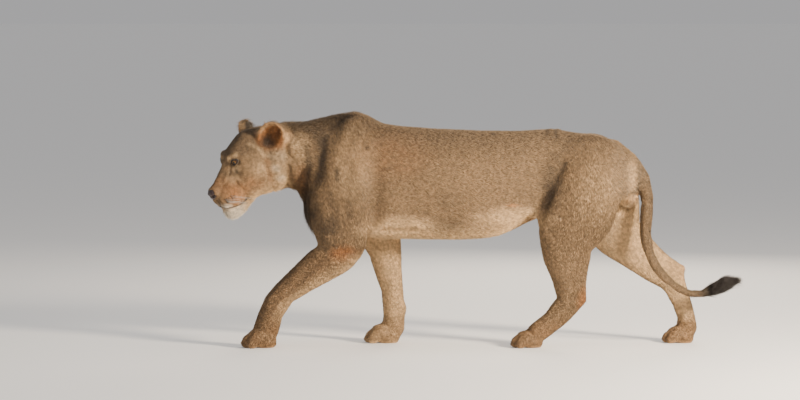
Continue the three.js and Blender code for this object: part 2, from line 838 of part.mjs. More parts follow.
const blocks = {
  body: {
    room: [[-1010, -330, 40], [1080, 330, 1090], 14],
    faces: 2500,
    distance: without(LION, (x, y, z) =>
      Math.max(Math.min(-850 - x, z - 440), beyondEars(x, y, z)),
    ),
  },
  head: {
    room: [[-1240, -330, 500], [-770, 200, 1060], 5.5],
    faces: 1740,
    distance: without(LION, beyondEars),
  },
  ear_left: { room: [[-990, -160, 860], [-800, -30, 1030], 4], faces: 300 },
  ear_right: { room: [[-1070, -36, 860], [-920, 140, 1030], 4], faces: 300 },
  tail: {
    room: [[670, -120, 180], [1220, 70, 900], 8],
    faces: 300,
    distance: without(LION, (x, y, z) => Math.min(y - 42, 767 - z)),
  },
  left_forepaw: { room: [[-1080, -240, -24], [-800, 0, 130], 6], faces: 305 },
  right_forepaw: { room: [[-520, 0, -24], [-250, 240, 130], 6], faces: 305 },
  left_hindpaw: { room: [[120, -240, -24], [430, 0, 160], 6], faces: 305 },
  right_hindpaw: { room: [[800, 0, -24], [1090, 240, 130], 6], faces: 305 },
};
const made = {};
for (const [name, { room, faces, distance = LION.distance }] of Object.entries(blocks))
  made[name] = solidOf(simplify(polygonise(distance, ...room), faces));

function cutHead() {
  let skull = within(made.head, before(PLANES.headNeck));
  for (const [name, side] of [["ear_left", 1], ["ear_right", -1]]) {
    const { origin, axes } = earFrame(side);
    const worldAxes = axes.map((v) => minus(fromHead(v), HEAD.noseTip));
    const region = (grow) => {
      const [low, high] = EAR_ROOM;
      const corners = [low.map((v) => v - grow), high.map((v) => v + grow)];
      return framedBox(fromHead(origin), worldAxes, ...corners);
    };
    keep(name, made[name].intersect(region(0)));
    skull = skull.subtract(region(CUT));
  }
  const noseRegion = (grow) => {
    const [low, high] = [[-60, -37 - grow, -54 - grow], [24 + grow, 37 + grow, 6 + grow]];
    return framedBox(HEAD.noseTip, headAxes, low, high);
  };
  keep("nose_pad", skull.intersect(noseRegion(0)));
  skull = skull.subtract(noseRegion(CUT));
  for (const [name, side] of [["eye_left", 1], ["eye_right", -1]]) {
    const middle = fromHead([EYE.at[0], EYE.at[1] * side, EYE.at[2]]);
    const ball = (radius) =>
      solidFromGeometry(new THREE.IcosahedronGeometry(radius, 2).translate(...middle));
    keep(name, ball(EYE.radius));
    skull = skull.subtract(ball(EYE.radius + CUT));
  }
  const jawPlane = [fromHead([40, 0, -120]), minus(fromHead([-0.25, 0, -0.97]), HEAD.noseTip)];
  keep("head", skull.intersect(before(jawPlane)));
  keep("lower_jaw", skull.intersect(after(jawPlane)));
}

function cutBody() {
  const right = behind([0, 0, 0], [0, -1, 0]);
  const left = behind([0, 0, 0], [0, 1, 0]);
  const wrist = [[0, 0, 96], [0, 0, -1]];
  const limbs = {
    left_fore: {
      half: left,
      inner: [[0, -40, 400], [0, -0.981, -0.193]],
      front: [[-770, 0, 560], [0.96, 0, -0.28]],
      back: [[-436, 0, 600], [1, 0, 0.0]],
      cuts: [
        ["left_upper_arm", [[-630, 0, 400], [-0.79, 0, -0.61]]],
        ["left_forearm", wrist],
        ["left_forepaw"],
      ],
    },
    right_fore: {
      half: right,
      inner: [[0, 40, 400], [0, 0.981, -0.193]],
      front: [[-770, 0, 560], [0.96, 0, -0.28]],
      back: [[-300, 0, 430], [0.94, 0, 0.34]],
      cuts: [
        ["right_upper_arm", [[-400, 0, 420], [0.1, 0, -0.995]]],
        ["right_forearm", wrist],
        ["right_forepaw"],
      ],
    },
    left_hind: {
      half: left,
      inner: [[0, -15, 590], [0, -0.927, -0.374]],
      front: PLANES.abdomenRump,
      cuts: [
        ["left_thigh", [[425, 0, 400], [0, 0, -1]]],
        ["left_shank", [[440, 0, 215], [-0.35, 0, -0.94]]],
        ["left_metatarsus", [[338, 0, 98], [-0.78, 0, -0.62]]],
        ["left_hindpaw"],
      ],
    },
    right_hind: {
      half: right,
      inner: [[0, 15, 590], [0, 0.927, -0.374]],
      front: PLANES.abdomenRump,
      cuts: [
        ["right_thigh", [[720, 0, 450], [0.5, 0, -0.866]]],
        ["right_shank", [[925, 0, 255], [0.2, 0, -0.98]]],
        ["right_metatarsus", wrist],
        ["right_hindpaw"],
      ],
    },
  };
  let core = within(made.body, after(PLANES.headNeck));
  for (const { half, inner, front, back, cuts } of Object.values(limbs)) {
    const bounds = (inset) => {
      const ahead = after(front, inset).add(behind([0, 0, 440], [0, 0, 1], inset));
      const spaces = back ? [before(back, inset)] : [];
      return within(half, after(inner, inset), ahead, ...spaces);
    };
    const limb = made.body.intersect(bounds(CUT / 2)).subtract(tailRoom(-CUT / 2));
    core = core.subtract(bounds(-CUT / 2));
    for (const [name, plane] of cuts) {
      const source = name.endsWith("paw") ? made[name].intersect(floorUp) : limb;
      const previous = cuts[cuts.findIndex((c) => c[0] === name) - 1];
      let piece = previous ? source.intersect(after(previous[1])) : source;
      if (plane) piece = piece.intersect(before(plane));
      keep(name, piece);
    }
  }
  const trunkPlanes = [
    ["neck", PLANES.neckChest],
    ["chest", PLANES.chestAbdomen],
    ["abdomen", PLANES.abdomenRump],
    ["rump", PLANES.rumpTail],
  ];
  trunkPlanes.forEach(([name, plane], i) => {
    const piece = within(core, before(plane));
    keep(name, i ? piece.intersect(after(trunkPlanes[i - 1][1])) : piece);
  });
}

function cutTail() {
  const tailCuts = [
    ["tail_root", [[790, 0, 560], [0, 0, -1]]],
    ["tail_middle", [[880, 0, 300], [0.8, 0, -0.6]]],
    ["tail_end", [[1044, 0, 234], [1, 0, 0.1]]],
    ["tail_tuft"],
  ];
  const rest = made.tail.intersect(tailRoom(CUT / 2));
  tailCuts.forEach(([name, plane], i) => {
    let piece = rest;
    if (i) piece = piece.intersect(after(tailCuts[i - 1][1]));
    if (plane) piece = piece.intersect(before(plane));
    keep(name, piece);
  });
}

cutHead();
cutBody();
cutTail();

// The named pieces, set on the floor

const COLOURS = {
  coat: 0xab8c66,
  tail_tuft: 0x241d18,
  nose_pad: 0x3a2a26,
  eye_left: 0xb07a2c,
  eye_right: 0xb07a2c,
};

const lion = new THREE.Group();
lion.name = "lion";
for (const [name, solid] of pieces) {
  const colour = COLOURS[name] ?? COLOURS.coat;
  const roughness = name.startsWith("eye") ? 0.1 : 0.9;
  const material = new THREE.MeshStandardMaterial({ color: colour, roughness, metalness: 0 });
  const mesh = new THREE.Mesh(geometryOf(solid), material);
  mesh.name = name;
  lion.add(mesh);
}
const whole = new THREE.Box3().setFromObject(lion);
const middle = whole.getCenter(new THREE.Vector3());
for (const mesh of lion.children) mesh.geometry.translate(-middle.x, -middle.y, -FLOOR);

export default lion;
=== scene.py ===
import json
import math

import bmesh
import bpy
import numpy as np
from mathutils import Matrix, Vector
from mathutils.bvhtree import BVHTree

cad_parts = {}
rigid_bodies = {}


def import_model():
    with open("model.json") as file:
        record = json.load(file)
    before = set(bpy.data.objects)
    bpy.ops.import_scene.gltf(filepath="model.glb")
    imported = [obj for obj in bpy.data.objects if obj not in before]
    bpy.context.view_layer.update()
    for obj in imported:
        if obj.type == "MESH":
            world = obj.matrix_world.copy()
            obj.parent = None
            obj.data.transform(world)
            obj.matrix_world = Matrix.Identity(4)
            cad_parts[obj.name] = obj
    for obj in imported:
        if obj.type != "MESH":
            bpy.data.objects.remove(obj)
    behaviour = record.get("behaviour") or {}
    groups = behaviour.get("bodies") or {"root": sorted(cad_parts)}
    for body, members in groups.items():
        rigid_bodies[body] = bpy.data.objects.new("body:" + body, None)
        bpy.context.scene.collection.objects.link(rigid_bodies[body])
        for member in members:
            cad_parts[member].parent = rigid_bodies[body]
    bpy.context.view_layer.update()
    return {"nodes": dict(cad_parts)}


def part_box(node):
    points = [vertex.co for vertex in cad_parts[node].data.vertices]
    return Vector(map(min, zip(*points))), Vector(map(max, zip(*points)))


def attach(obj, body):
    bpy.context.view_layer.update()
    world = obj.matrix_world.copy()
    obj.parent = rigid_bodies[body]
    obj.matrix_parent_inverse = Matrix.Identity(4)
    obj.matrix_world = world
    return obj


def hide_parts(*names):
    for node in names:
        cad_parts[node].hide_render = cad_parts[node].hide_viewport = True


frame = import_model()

rng = np.random.default_rng(11)


# small helpers for meshes held as arrays

def smoothStep(low, high, value):
    t = np.clip((value - low) / (high - low), 0, 1)
    return t * t * (3 - 2 * t)


def unit(vectors):
    return vectors / np.maximum(np.linalg.norm(vectors, axis=-1, keepdims=True), 1e-9)


def newMesh(name, points, faces, smooth=True):
    mesh = bpy.data.meshes.new(name)
    faces = np.asarray(faces, np.int32)
    size = faces.shape[1]
    mesh.vertices.add(len(points))
    mesh.vertices.foreach_set("co", np.asarray(points, np.float32).ravel())
    mesh.loops.add(faces.size)
    mesh.loops.foreach_set("vertex_index", faces.ravel())
    mesh.polygons.add(len(faces))
    mesh.polygons.foreach_set("loop_start", np.arange(0, faces.size, size, dtype=np.int32))
    mesh.polygons.foreach_set("use_smooth", np.full(len(faces), smooth))
    mesh.update(calc_edges=True)
    return mesh


def placed(name, data):
    made = bpy.data.objects.new(name, data)
    bpy.context.scene.collection.objects.link(made)
    return made


def newPiece(name, mesh, material, replaced=()):
    piece = placed(name, mesh)
    if material:
        piece.data.materials.append(material)
    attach(piece, "root")
    if replaced:
        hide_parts(*replaced)
    return piece


def readOut(items, key, kind, width):
    found = np.empty(len(items) * width, kind)
    items.foreach_get(key, found)
    return found.reshape(-1, width)


def pointsOf(mesh):
    return readOut(mesh.vertices, "co", np.float32, 3).astype(float)


def normalsOf(mesh):
    return readOut(mesh.vertices, "normal", np.float32, 3).astype(float)


def edgesOf(mesh):
    return readOut(mesh.edges, "vertices", np.int32, 2)


def trianglesOf(mesh):
    mesh.calc_loop_triangles()
    return readOut(mesh.loop_triangles, "vertices", np.int32, 3)


def treeOf(points, faces):
    return BVHTree.FromPolygons([tuple(p) for p in points], faces.tolist())


def movePoints(mesh, points):
    mesh.vertices.foreach_set("co", points.astype(np.float32).ravel())
    mesh.update()


def evened(points, edges, pull, rounds):    # diffusion over the mesh; pull is per point
    a, b = edges.T
    count = np.maximum(np.bincount(a, minlength=len(points)) + np.bincount(b, minlength=len(points)), 1)
    now = points.copy()
    for _ in range(rounds):
        mean = np.empty_like(now)
        for axis in range(now.shape[1]):
            column = now[:, axis]
            total = np.bincount(a, column[b], len(points)) + np.bincount(b, column[a], len(points))
            mean[:, axis] = total / count
        now += (mean - now) * pull[:, None]
    return now


def applied(holder):    # the mesh as its modifier leaves it
    made = bpy.data.meshes.new_from_object(holder.evaluated_get(bpy.context.evaluated_depsgraph_get()))
    bpy.data.objects.remove(holder)
    return made


def offSegment(points, p, q):    # how far from p to q each point lies, and its distance from there
    t = np.clip(((points - p) @ (q - p)) / max((q - p) @ (q - p), 1e-12), 0, 1)
    return t, np.linalg.norm(points - p - t[:, None] * (q - p), axis=1)


def offLine(points, line):
    line = np.array(line)
    return np.min([offSegment(points, p, q)[1] for p, q in zip(line[:-1], line[1:])], axis=0)


def withModifier(mesh, kind, **settings):
    holder = placed("work", mesh)
    modifier = holder.modifiers.new("work", kind)
    for key, value in settings.items():
        setattr(modifier, key, value)
    return applied(holder)


# where the parts of the body lie

middleOf = lambda name: (np.array(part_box(name)[0]) + np.array(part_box(name)[1])) / 2

headFrame = {"pitch": 26, "yaw": 34, "eye": (0.171, 0.047, 0.062)}    # degrees; the left eye from the nose tip
pitch, yaw = math.radians(headFrame["pitch"]), math.radians(headFrame["yaw"])
headAxes = np.array([
    [math.cos(pitch) * math.cos(yaw), math.cos(pitch) * math.sin(yaw), math.sin(pitch)],
    [math.sin(yaw), -math.cos(yaw), 0],
    [-math.sin(pitch) * math.cos(yaw), -math.sin(pitch) * math.sin(yaw), math.cos(pitch)],
])    # back, out to the left, up
noseTip = middleOf("eye_left") - np.array(headFrame["eye"]) @ headAxes


def toHead(points):
    return (points - noseTip) @ headAxes.T


def fromHead(local):
    return noseTip + np.asarray(local) @ headAxes


# Each bone: stations (x, y, z, half thickness) in metres, in the direction the hair lies.
tableShift = noseTip - np.array([-1.182, -0.175, 0.702])
bones = {
    "neck": [(-0.89, -0.01, 0.843, 0.12), (-0.75, -0.01, 0.85, 0.13), (-0.56, 0, 0.82, 0.15)],
    "trunk": [(-0.60, 0, 0.80, 0.15), (-0.30, 0, 0.74, 0.17), (0.05, 0, 0.72, 0.17), (0.35, 0, 0.79, 0.14),
              (0.62, 0, 0.80, 0.11)],
    "breast": [(-0.70, 0, 0.72, 0.08), (-0.68, 0, 0.60, 0.08), (-0.62, 0, 0.52, 0.08)],
    "leftFore": [(-0.53, -0.08, 0.93, 0.06), (-0.60, -0.12, 0.72, 0.07), (-0.585, -0.13, 0.51, 0.075),
                 (-0.672, -0.12, 0.366, 0.06), (-0.78, -0.112, 0.285, 0.055), (-0.866, -0.104, 0.212, 0.048),
                 (-0.916, -0.098, 0.084, 0.05), (-0.99, -0.098, 0.03, 0.05)],
    "rightFore": [(-0.53, 0.08, 0.93, 0.06), (-0.55, 0.12, 0.72, 0.07), (-0.45, 0.128, 0.54, 0.075),
                  (-0.374, 0.114, 0.33, 0.055), (-0.352, 0.10, 0.19, 0.048), (-0.35, 0.098, 0.07, 0.05),
                  (-0.44, 0.098, 0.03, 0.05)],
    "leftHind": [(0.50, -0.08, 0.80, 0.10), (0.474, -0.10, 0.61, 0.10), (0.42, -0.112, 0.44, 0.07),
                 (0.434, -0.106, 0.268, 0.048), (0.435, -0.102, 0.205, 0.042), (0.30, -0.098, 0.066, 0.04),
                 (0.21, -0.098, 0.03, 0.045)],
    "rightHind": [(0.59, 0.08, 0.75, 0.10), (0.65, 0.108, 0.52, 0.09), (0.76, 0.115, 0.41, 0.06),
                  (0.905, 0.106, 0.29, 0.048), (0.96, 0.099, 0.17, 0.04), (0.984, 0.096, 0.07, 0.045),
                  (0.90, 0.096, 0.03, 0.045)],
    "tail": [(0.65, 0, 0.87, 0.045), (0.764, -0.006, 0.766, 0.032), (0.789, -0.016, 0.68, 0.028),
             (0.789, -0.026, 0.585, 0.027), (0.784, -0.034, 0.50, 0.025), (0.80, -0.04, 0.42, 0.022),
             (0.832, -0.046, 0.352, 0.021), (0.876, -0.05, 0.30, 0.019), (0.924, -0.054, 0.262, 0.017),
             (0.982, -0.058, 0.234, 0.015), (1.04, -0.06, 0.232, 0.015), (1.08, -0.062, 0.248, 0.02),
             (1.126, -0.064, 0.272, 0.02), (1.182, -0.064, 0.288, 0.01)],
}
boneNames = list(bones)


def alongBone(points, stations):    # distance off the bone's flesh, how far along it, and its direction there
    stations = np.array(stations)
    spots, thick = stations[:, :3] + tableShift, stations[:, 3]
    best = np.full(len(points), 1e9)
    along = np.zeros(len(points))
    lie = np.zeros((len(points), 3))
    lengths = np.linalg.norm(np.diff(spots, axis=0), axis=1)
    run = np.concatenate([[0], np.cumsum(lengths)])
    for i, (p, q) in enumerate(zip(spots[:-1], spots[1:])):
        t = np.clip(((points - p) @ (q - p)) / lengths[i] ** 2, 0, 1)
        off = np.linalg.norm(points - p - t[:, None] * (q - p), axis=1) - (thick[i] + (thick[i + 1] - thick[i]) * t)
        near = off < best
        best[near] = off[near]
        along[near] = (run[i] + t * lengths[i])[near] / run[-1]
        lie[near] = (q - p) / lengths[i]
    return best, along, lie


def headShare(points):    # 1 on the head, 0 from the neck back
    back, _, up = toHead(points).T
    behind = smoothStep(0.33, 0.42, back + 0.25 * np.maximum(0, -up - 0.05))
    return (1 - behind) * (1 - smoothStep(0.215, 0.255, -up))


def bodySense(points):    # each point's share of every bone, and the lie of the hair there
    shares, lies, spans = [], [], []
    for name in boneNames:
        off, along, lie = alongBone(points, bones[name])
        shares.append(np.exp(-np.clip(off, -0.06, 1) / 0.02))
        lies.append(lie)
        spans.append(along)
    shares = np.array(shares)
    head = headShare(points)
    shares *= (1 - head) + 1e-9
    shares /= shares.sum(0) + 1e-12
    flow = sum(share[:, None] * lie for share, lie in zip(shares, lies))
    return dict(zip(boneNames, shares)), dict(zip(boneNames, spans)), unit(flow), head


# the skin: one closed surface inside the solids

skinPlan = {
    "cell": 0.0036,
    "faces": 186000,
    "grow": 0.0006,        # of each solid, to close the cuts between them
    "core": 0.0185,        # radius that fills each socket to just under the eye's own surface
    "floorGap": 0.0004,
    "tuftDepth": 0.009,    # further in under the tail's long hair
    "rounds": 56,
    "spread": {"body": 0.019, "legs": 0.0105, "paws": 0.0055, "tail": 0.008, "head": 0.0062, "ears": 0.0026},
    "coatDepth": {"body": 0.0075, "legs": 0.0045, "paws": 0.0028, "tail": 0.0008, "head": 0.0032, "ears": 0.0012},
}
fleshNodes = [name for name in frame["nodes"] if not name.startswith("eye_")]


def joinedNodes(names):
    points, faces, first = [], [], 0
    for name in names:
        solid = bmesh.new()
        solid.from_mesh(bpy.data.objects[name].data)
        bmesh.ops.remove_doubles(solid, verts=solid.verts, dist=1e-5)
        bmesh.ops.triangulate(solid, faces=solid.faces)
        solid.normal_update()
        points.append(np.array([tuple(v.co + v.normal * skinPlan["grow"]) for v in solid.verts]))
        faces.append(np.array([[v.index for v in f.verts] for f in solid.faces], np.int32) + first)
        first += len(solid.verts)
        solid.free()
    return newMesh("flesh", np.concatenate(points), np.concatenate(faces))


def eyeCore(name):
    core = bmesh.new()
    bmesh.ops.create_icosphere(core, subdivisions=4, radius=skinPlan["core"])
    bmesh.ops.translate(core, verts=core.verts, vec=Vector(middleOf(name)))
    mesh = bpy.data.meshes.new("core")
    core.to_mesh(mesh)
    core.free()
    return mesh


def zonesOf(points):    # how much of each point is ears, head, paws, tail, legs and body
    back, out, up = toHead(points).T
    shares, _, _, head = bodySense(points)
    earMiddle = [toHead(middleOf(f"ear_{side}")[None])[0] for side in ("left", "right")]
    earAway = np.min([np.linalg.norm(np.stack([back, out, up], 1) - m, axis=1) for m in earMiddle], axis=0)
    ears = 1 - smoothStep(0.062, 0.09, earAway)
    head = head * (1 - ears)
    rest = 1 - ears - head
    paws = rest * (1 - smoothStep(0.085, 0.15, points[:, 2]))
    rest = rest - paws
    tail = rest * smoothStep(0.3, 0.8, shares["tail"])
    rest = rest - tail
    legShare = sum(shares[name] for name in ("leftFore", "rightFore", "leftHind", "rightHind"))
    legs = rest * (1 - smoothStep(0.36, 0.56, points[:, 2])) * smoothStep(0.2, 0.6, legShare)
    return {"ears": ears, "head": head, "paws": paws, "tail": tail, "legs": legs, "body": rest - legs}


def mixed(zones, values):
    return sum(zones[name] * values[name] for name in values)


def mainPart(points, edges, faces):    # leaves out the walls that shut cuts leave inside
    label = np.arange(len(points))
    a, b = edges.T
    while True:
        least = np.minimum(label[a], label[b])
        np.minimum.at(label, a, least)
        np.minimum.at(label, b, least)
        label = label[label]
        if (label[a] == label[b]).all():
            break
    kept = label == np.bincount(label).argmax()
    number = np.cumsum(kept) - 1
    return points[kept], number[faces[kept[faces[:, 0]]]]


rough = joinedNodes(fleshNodes)
allPoints, allFaces = [pointsOf(rough)], [trianglesOf(rough)]
for core in (eyeCore("eye_left"), eyeCore("eye_right")):
    allFaces.append(trianglesOf(core) + sum(len(p) for p in allPoints))
    allPoints.append(pointsOf(core))
rough = newMesh("flesh", np.concatenate(allPoints), np.concatenate(allFaces))
fine = withModifier(rough, "REMESH", mode="VOXEL", voxel_size=skinPlan["cell"], adaptivity=0)
quads = readOut(fine.loops, "vertex_index", np.int32, 1).reshape(-1, 4)
points, faces = mainPart(pointsOf(fine), edgesOf(fine), quads)
fine = newMesh("skin", points, faces)
edges = edgesOf(fine)
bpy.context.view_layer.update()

zones = zonesOf(points)
spread = mixed(zones, skinPlan["spread"])
pull = np.clip(2 * (spread / skinPlan["cell"]) ** 2 / skinPlan["rounds"], 0, 1)
soft = evened(points, edges, pull, skinPlan["rounds"])
points = soft + evened(points - soft, edges, pull, skinPlan["rounds"])    # gives back what the smoothing shrank
points = evened(points, edges, np.full(len(points), 0.5), 2)
movePoints(fine, points)
outward = normalsOf(fine)
depth = mixed(zones, skinPlan["coatDepth"])
depth += skinPlan["tuftDepth"] * smoothStep(1.03, 1.09, points[:, 0]) * zones["tail"]
depth *= 1 - zones["paws"] * smoothStep(0.5, 0.9, -outward[:, 2])    # the soles are bare
points = points - outward * depth[:, None]
points[:, 2] = np.maximum(points[:, 2], skinPlan["floorGap"])
movePoints(fine, points)
print("skin smoothed")

# modelling strokes: muscles, folds and hollows pushed out of or into the skin

strokePlan = {"rightShift": 0.035, "bodyGain": 1.4, "headGain": 1.1}
# name: points (x, z) on the side of the body, reach, height; metres. On the right they lie a little further back.
bodyStrokes = [
    ("scapula ridge", [(-0.552, 1.017), (-0.593, 0.891), (-0.633, 0.747)], 0.05, 0.005),
    ("neck and shoulder", [(-0.678, 0.945), (-0.688, 0.823), (-0.719, 0.711)], 0.042, -0.007),
    ("behind the ridge", [(-0.584, 0.855), (-0.543, 0.72), (-0.543, 0.643)], 0.036, -0.006),
    ("triceps", [(-0.516, 0.846), (-0.503, 0.621)], 0.055, 0.006),
    ("behind the shoulder", [(-0.445, 0.93), (-0.440, 0.756), (-0.450, 0.607), (-0.470, 0.531)], 0.060, -0.0055),
    ("shoulder point", [(-0.669, 0.63), (-0.651, 0.499)], 0.05, 0.005),
    ("elbow", [(-0.552, 0.441), (-0.507, 0.459)], 0.028, 0.006),
    ("armpit fold", [(-0.467, 0.513), (-0.386, 0.585), (-0.305, 0.58), (-0.24, 0.545)], 0.02, 0.006),
    ("under the fold", [(-0.422, 0.526), (-0.246, 0.526)], 0.024, -0.007),
    ("rib 1", [(-0.405, 0.86), (-0.385, 0.72), (-0.40, 0.60)], 0.03, 0.0016),
    ("rib 2", [(-0.345, 0.86), (-0.32, 0.72), (-0.335, 0.62)], 0.03, 0.0016),
    ("rib 3", [(-0.285, 0.86), (-0.255, 0.72), (-0.27, 0.61)], 0.03, 0.0016),
    ("rib 4", [(-0.225, 0.86), (-0.19, 0.72), (-0.205, 0.60)], 0.03, 0.0016),
    ("rib 5", [(-0.165, 0.86), (-0.125, 0.72), (-0.14, 0.60)], 0.03, 0.0016),
    ("rib 6", [(-0.105, 0.86), (-0.06, 0.72), (-0.07, 0.61)], 0.03, 0.0016),
    ("rib 7", [(-0.045, 0.87), (0.0, 0.75), (0.0, 0.64)], 0.03, 0.0016),
    ("flank hollow", [(0.392, 0.828), (0.338, 0.729), (0.307, 0.652)], 0.06, -0.011),
    ("flank fold", [(0.20, 0.625), (0.25, 0.61), (0.302, 0.567)], 0.022, 0.007),
    ("hip bone", [(0.343, 0.963)], 0.035, 0.006),
    ("croup fold", [(0.302, 0.994), (0.325, 0.949)], 0.012, -0.0035),
    ("croup fold behind", [(0.365, 0.985), (0.356, 0.94)], 0.012, -0.004),
    ("thigh front", [(0.374, 0.711), (0.356, 0.621), (0.307, 0.522)], 0.042, 0.006),
    ("thigh groove", [(0.536, 0.756), (0.523, 0.666), (0.473, 0.504)], 0.036, -0.007),
    ("ham", [(0.59, 0.756), (0.572, 0.643), (0.527, 0.522)], 0.036, 0.004),
    ("neck groove", [(-0.831, 0.891), (-0.75, 0.756), (-0.732, 0.643)], 0.034, -0.006),
]
leftLegStrokes = [
    ("calf hollow", [(0.464, 0.387), (0.458, 0.315), (0.445, 0.262)], 0.019, -0.008),
    ("kneecap", [(0.33, 0.50)], 0.035, 0.004),
    ("forearm groove", [(-0.669, 0.405), (-0.777, 0.306), (-0.84, 0.235)], 0.02, -0.004),
    ("wrist", [(-0.895, 0.17)], 0.03, 0.003),
    ("hock", [(0.487, 0.222)], 0.022, 0.004),
]
rightLegStrokes = [
    ("calf hollow", [(0.80, 0.40), (0.88, 0.345), (0.925, 0.30)], 0.02, -0.008),
    ("forearm groove", [(-0.375, 0.42), (-0.352, 0.28)], 0.02, -0.004),
    ("wrist", [(-0.352, 0.17)], 0.03, 0.003),
    ("hock", [(0.955, 0.335)], 0.022, 0.004),
]
# name: points (back, out, up) in the head's frame, reach, height
headStrokes = [
    ("brow", [(0.158, 0.026, 0.086), (0.178, 0.047, 0.093), (0.205, 0.074, 0.076)], 0.016, 0.0035),
    ("over the eye", [(0.160, 0.036, 0.078), (0.182, 0.058, 0.078)], 0.008, -0.002),
    ("tear groove", [(0.146, 0.036, 0.050), (0.118, 0.034, 0.016)], 0.010, -0.0028),
    ("beside the bridge", [(0.135, 0.032, 0.022), (0.070, 0.030, -0.016)], 0.014, -0.003),
    ("cheekbone", [(0.165, 0.066, 0.022), (0.225, 0.098, 0.012)], 0.020, 0.003),
    ("behind the whiskers", [(0.130, 0.048, -0.022), (0.143, 0.058, -0.07), (0.142, 0.062, -0.112)], 0.020, -0.006),
    ("whisker pad", [(0.060, 0.040, -0.075), (0.092, 0.046, -0.083)], 0.022, 0.003),
    ("parting of the lip", [(0.018, 0, -0.058), (0.028, 0, -0.090)], 0.007, -0.004),
    ("mouth", [(0.041, 0, -0.100), (0.041, 0.012, -0.102), (0.046, 0.022, -0.107), (0.056, 0.030, -0.113),
               (0.070, 0.036, -0.117), (0.095, 0.043, -0.119), (0.120, 0.047, -0.118), (0.143, 0.051, -0.116)],
     0.0055, -0.002),
    ("upper lip", [(0.038, 0.010, -0.092), (0.052, 0.036, -0.107), (0.095, 0.052, -0.113)], 0.011, 0.003),
    ("lower lip", [(0.048, 0.0, -0.122), (0.064, 0.032, -0.132), (0.105, 0.048, -0.138)], 0.010, 0.0025),
    ("corner of the mouth", [(0.145, 0.053, -0.116)], 0.012, -0.003),
    ("brow middle", [(0.175, 0, 0.092), (0.27, 0, 0.145)], 0.014, -0.0025),
    ("temple", [(0.235, 0.075, 0.085), (0.285, 0.088, 0.095)], 0.026, -0.004),
    ("cheek ruff", [(0.338, 0.100, 0.020), (0.325, 0.098, -0.060), (0.285, 0.085, -0.125)], 0.036, 0.008),
    ("behind the ruff", [(0.392, 0.100, 0.02), (0.378, 0.092, -0.075), (0.345, 0.07, -0.15)], 0.034, -0.009),
    ("jaw line", [(0.165, 0.052, -0.150), (0.250, 0.080, -0.135)], 0.020, 0.003),
    ("chewing muscle", [(0.235, 0.098, -0.02), (0.255, 0.098, -0.075)], 0.026, 0.003),
]


def ontoSide(skinTree, x, z, side):    # the skin's point at x, z, seen from the left (-1) or right (1)
    hit = skinTree.ray_cast(Vector((x, side * 0.6, z)), Vector((0, -side, 0)))[0]
    return np.array(hit) if hit else None


def ontoSkin(skinTree, point):
    return np.array(skinTree.find_nearest(Vector(point))[0])


def curved(line, steps=5):    # a smooth curve through the points
    line = np.array(line, float)
    if len(line) < 2:
        return line
    ends = np.vstack([2 * line[0] - line[1], line, 2 * line[-1] - line[-2]])
    made = []
    for i in range(len(line) - 1):
        p, q, r, s = ends[i:i + 4]
        for t in np.arange(steps) / steps:
            made.append(0.5 * (2 * q + (r - p) * t + (2 * p - 5 * q + 4 * r - s) * t ** 2
                               + (3 * q - p - 3 * r + s) * t ** 3))
    return np.array(made + [line[-1]])


def pushed(points, line, reach, height):    # how far each point moves for one stroke, thinner at its ends
    line = np.array(line)
    room = ((points > line.min(0) - reach) & (points < line.max(0) + reach)).all(1)
    near = points[room]
    moved = np.zeros(len(points))
    best = np.zeros(len(near))
    reaches = reach * (0.5 + 0.5 * np.sin(np.pi * np.linspace(0.12, 0.88, len(line))))
    if len(line) == 1:
        line, reaches = np.vstack([line, line + 1e-5]), np.array([reach, reach])
    for i, (p, q) in enumerate(zip(line[:-1], line[1:])):
        t, off = offSegment(near, p, q)
        off = off / (reaches[i] + (reaches[i + 1] - reaches[i]) * t)
        best = np.maximum(best, np.clip(1 - off ** 2, 0, 1) ** 2)
    moved[room] = height * best
    return moved


normals = normalsOf(fine)
skinTree = treeOf(points, trianglesOf(fine))
rise = np.zeros(len(points))
for side, shift, legStrokes in ((-1, 0.0, leftLegStrokes), (1, strokePlan["rightShift"], rightLegStrokes)):
    for stroke in bodyStrokes + legStrokes:
        name, line, reach, height = stroke
        move = shift if stroke in bodyStrokes and not name.startswith("rib") else 0
        found = [ontoSide(skinTree, x + move, z, side) for x, z in curved(line)]
        found = [p for p in found if p is not None]
        if found:
            rise += pushed(points, found, reach, height)
softness = np.clip(mixed(zones, {"body": 0.9, "legs": 0.5}), 0, 1)
rise = evened(rise[:, None], edges, softness, 26)[:, 0] * strokePlan["bodyGain"]
headRise = np.zeros(len(points))
for side in (1, -1):
    for name, line, reach, height in headStrokes:
        if side < 0 and line[0][1] == 0 and line[-1][1] == 0:
            continue
        found = [ontoSkin(skinTree, fromHead((back, out * side, up))) for back, out, up in curved(line)]
        headRise += pushed(points, found, reach, height)
scrotum = {"at": (0.708, 0, 0.668), "size": (0.037, 0.040, 0.043), "height": 0.017}


def offScrotum(points):    # 1 on its surface
    return np.linalg.norm((points - np.array(scrotum["at"])) / np.array(scrotum["size"]), axis=1)


off = offScrotum(points)
rise += scrotum["height"] * (1 - smoothStep(0.55, 1.25, off)) - 0.004 * np.exp(-((off - 1.45) / 0.18) ** 2)
broad = smoothStep(0.20, 0.30, toHead(points)[:, 0])
headRise = evened(headRise[:, None], edges, 0.25 + 0.65 * broad, 5)[:, 0] * strokePlan["headGain"]
points = points + normals * (rise + headRise)[:, None]

# the eyes' openings: the skin rises round each eyeball and lies under it inside the lids

eyePlan = {
    "radius": 0.0195,
    "facing": (-0.80, 0.52, 0.16),    # back, out, up, in the head's frame
    "outward": (0.50, 0.84, 0.10),    # towards the outer corner
    "halfWidth": 0.80,                # of the opening, as a share of the radius
    "halfHeight": 0.43,
    "lidThickness": 0.0028,
}


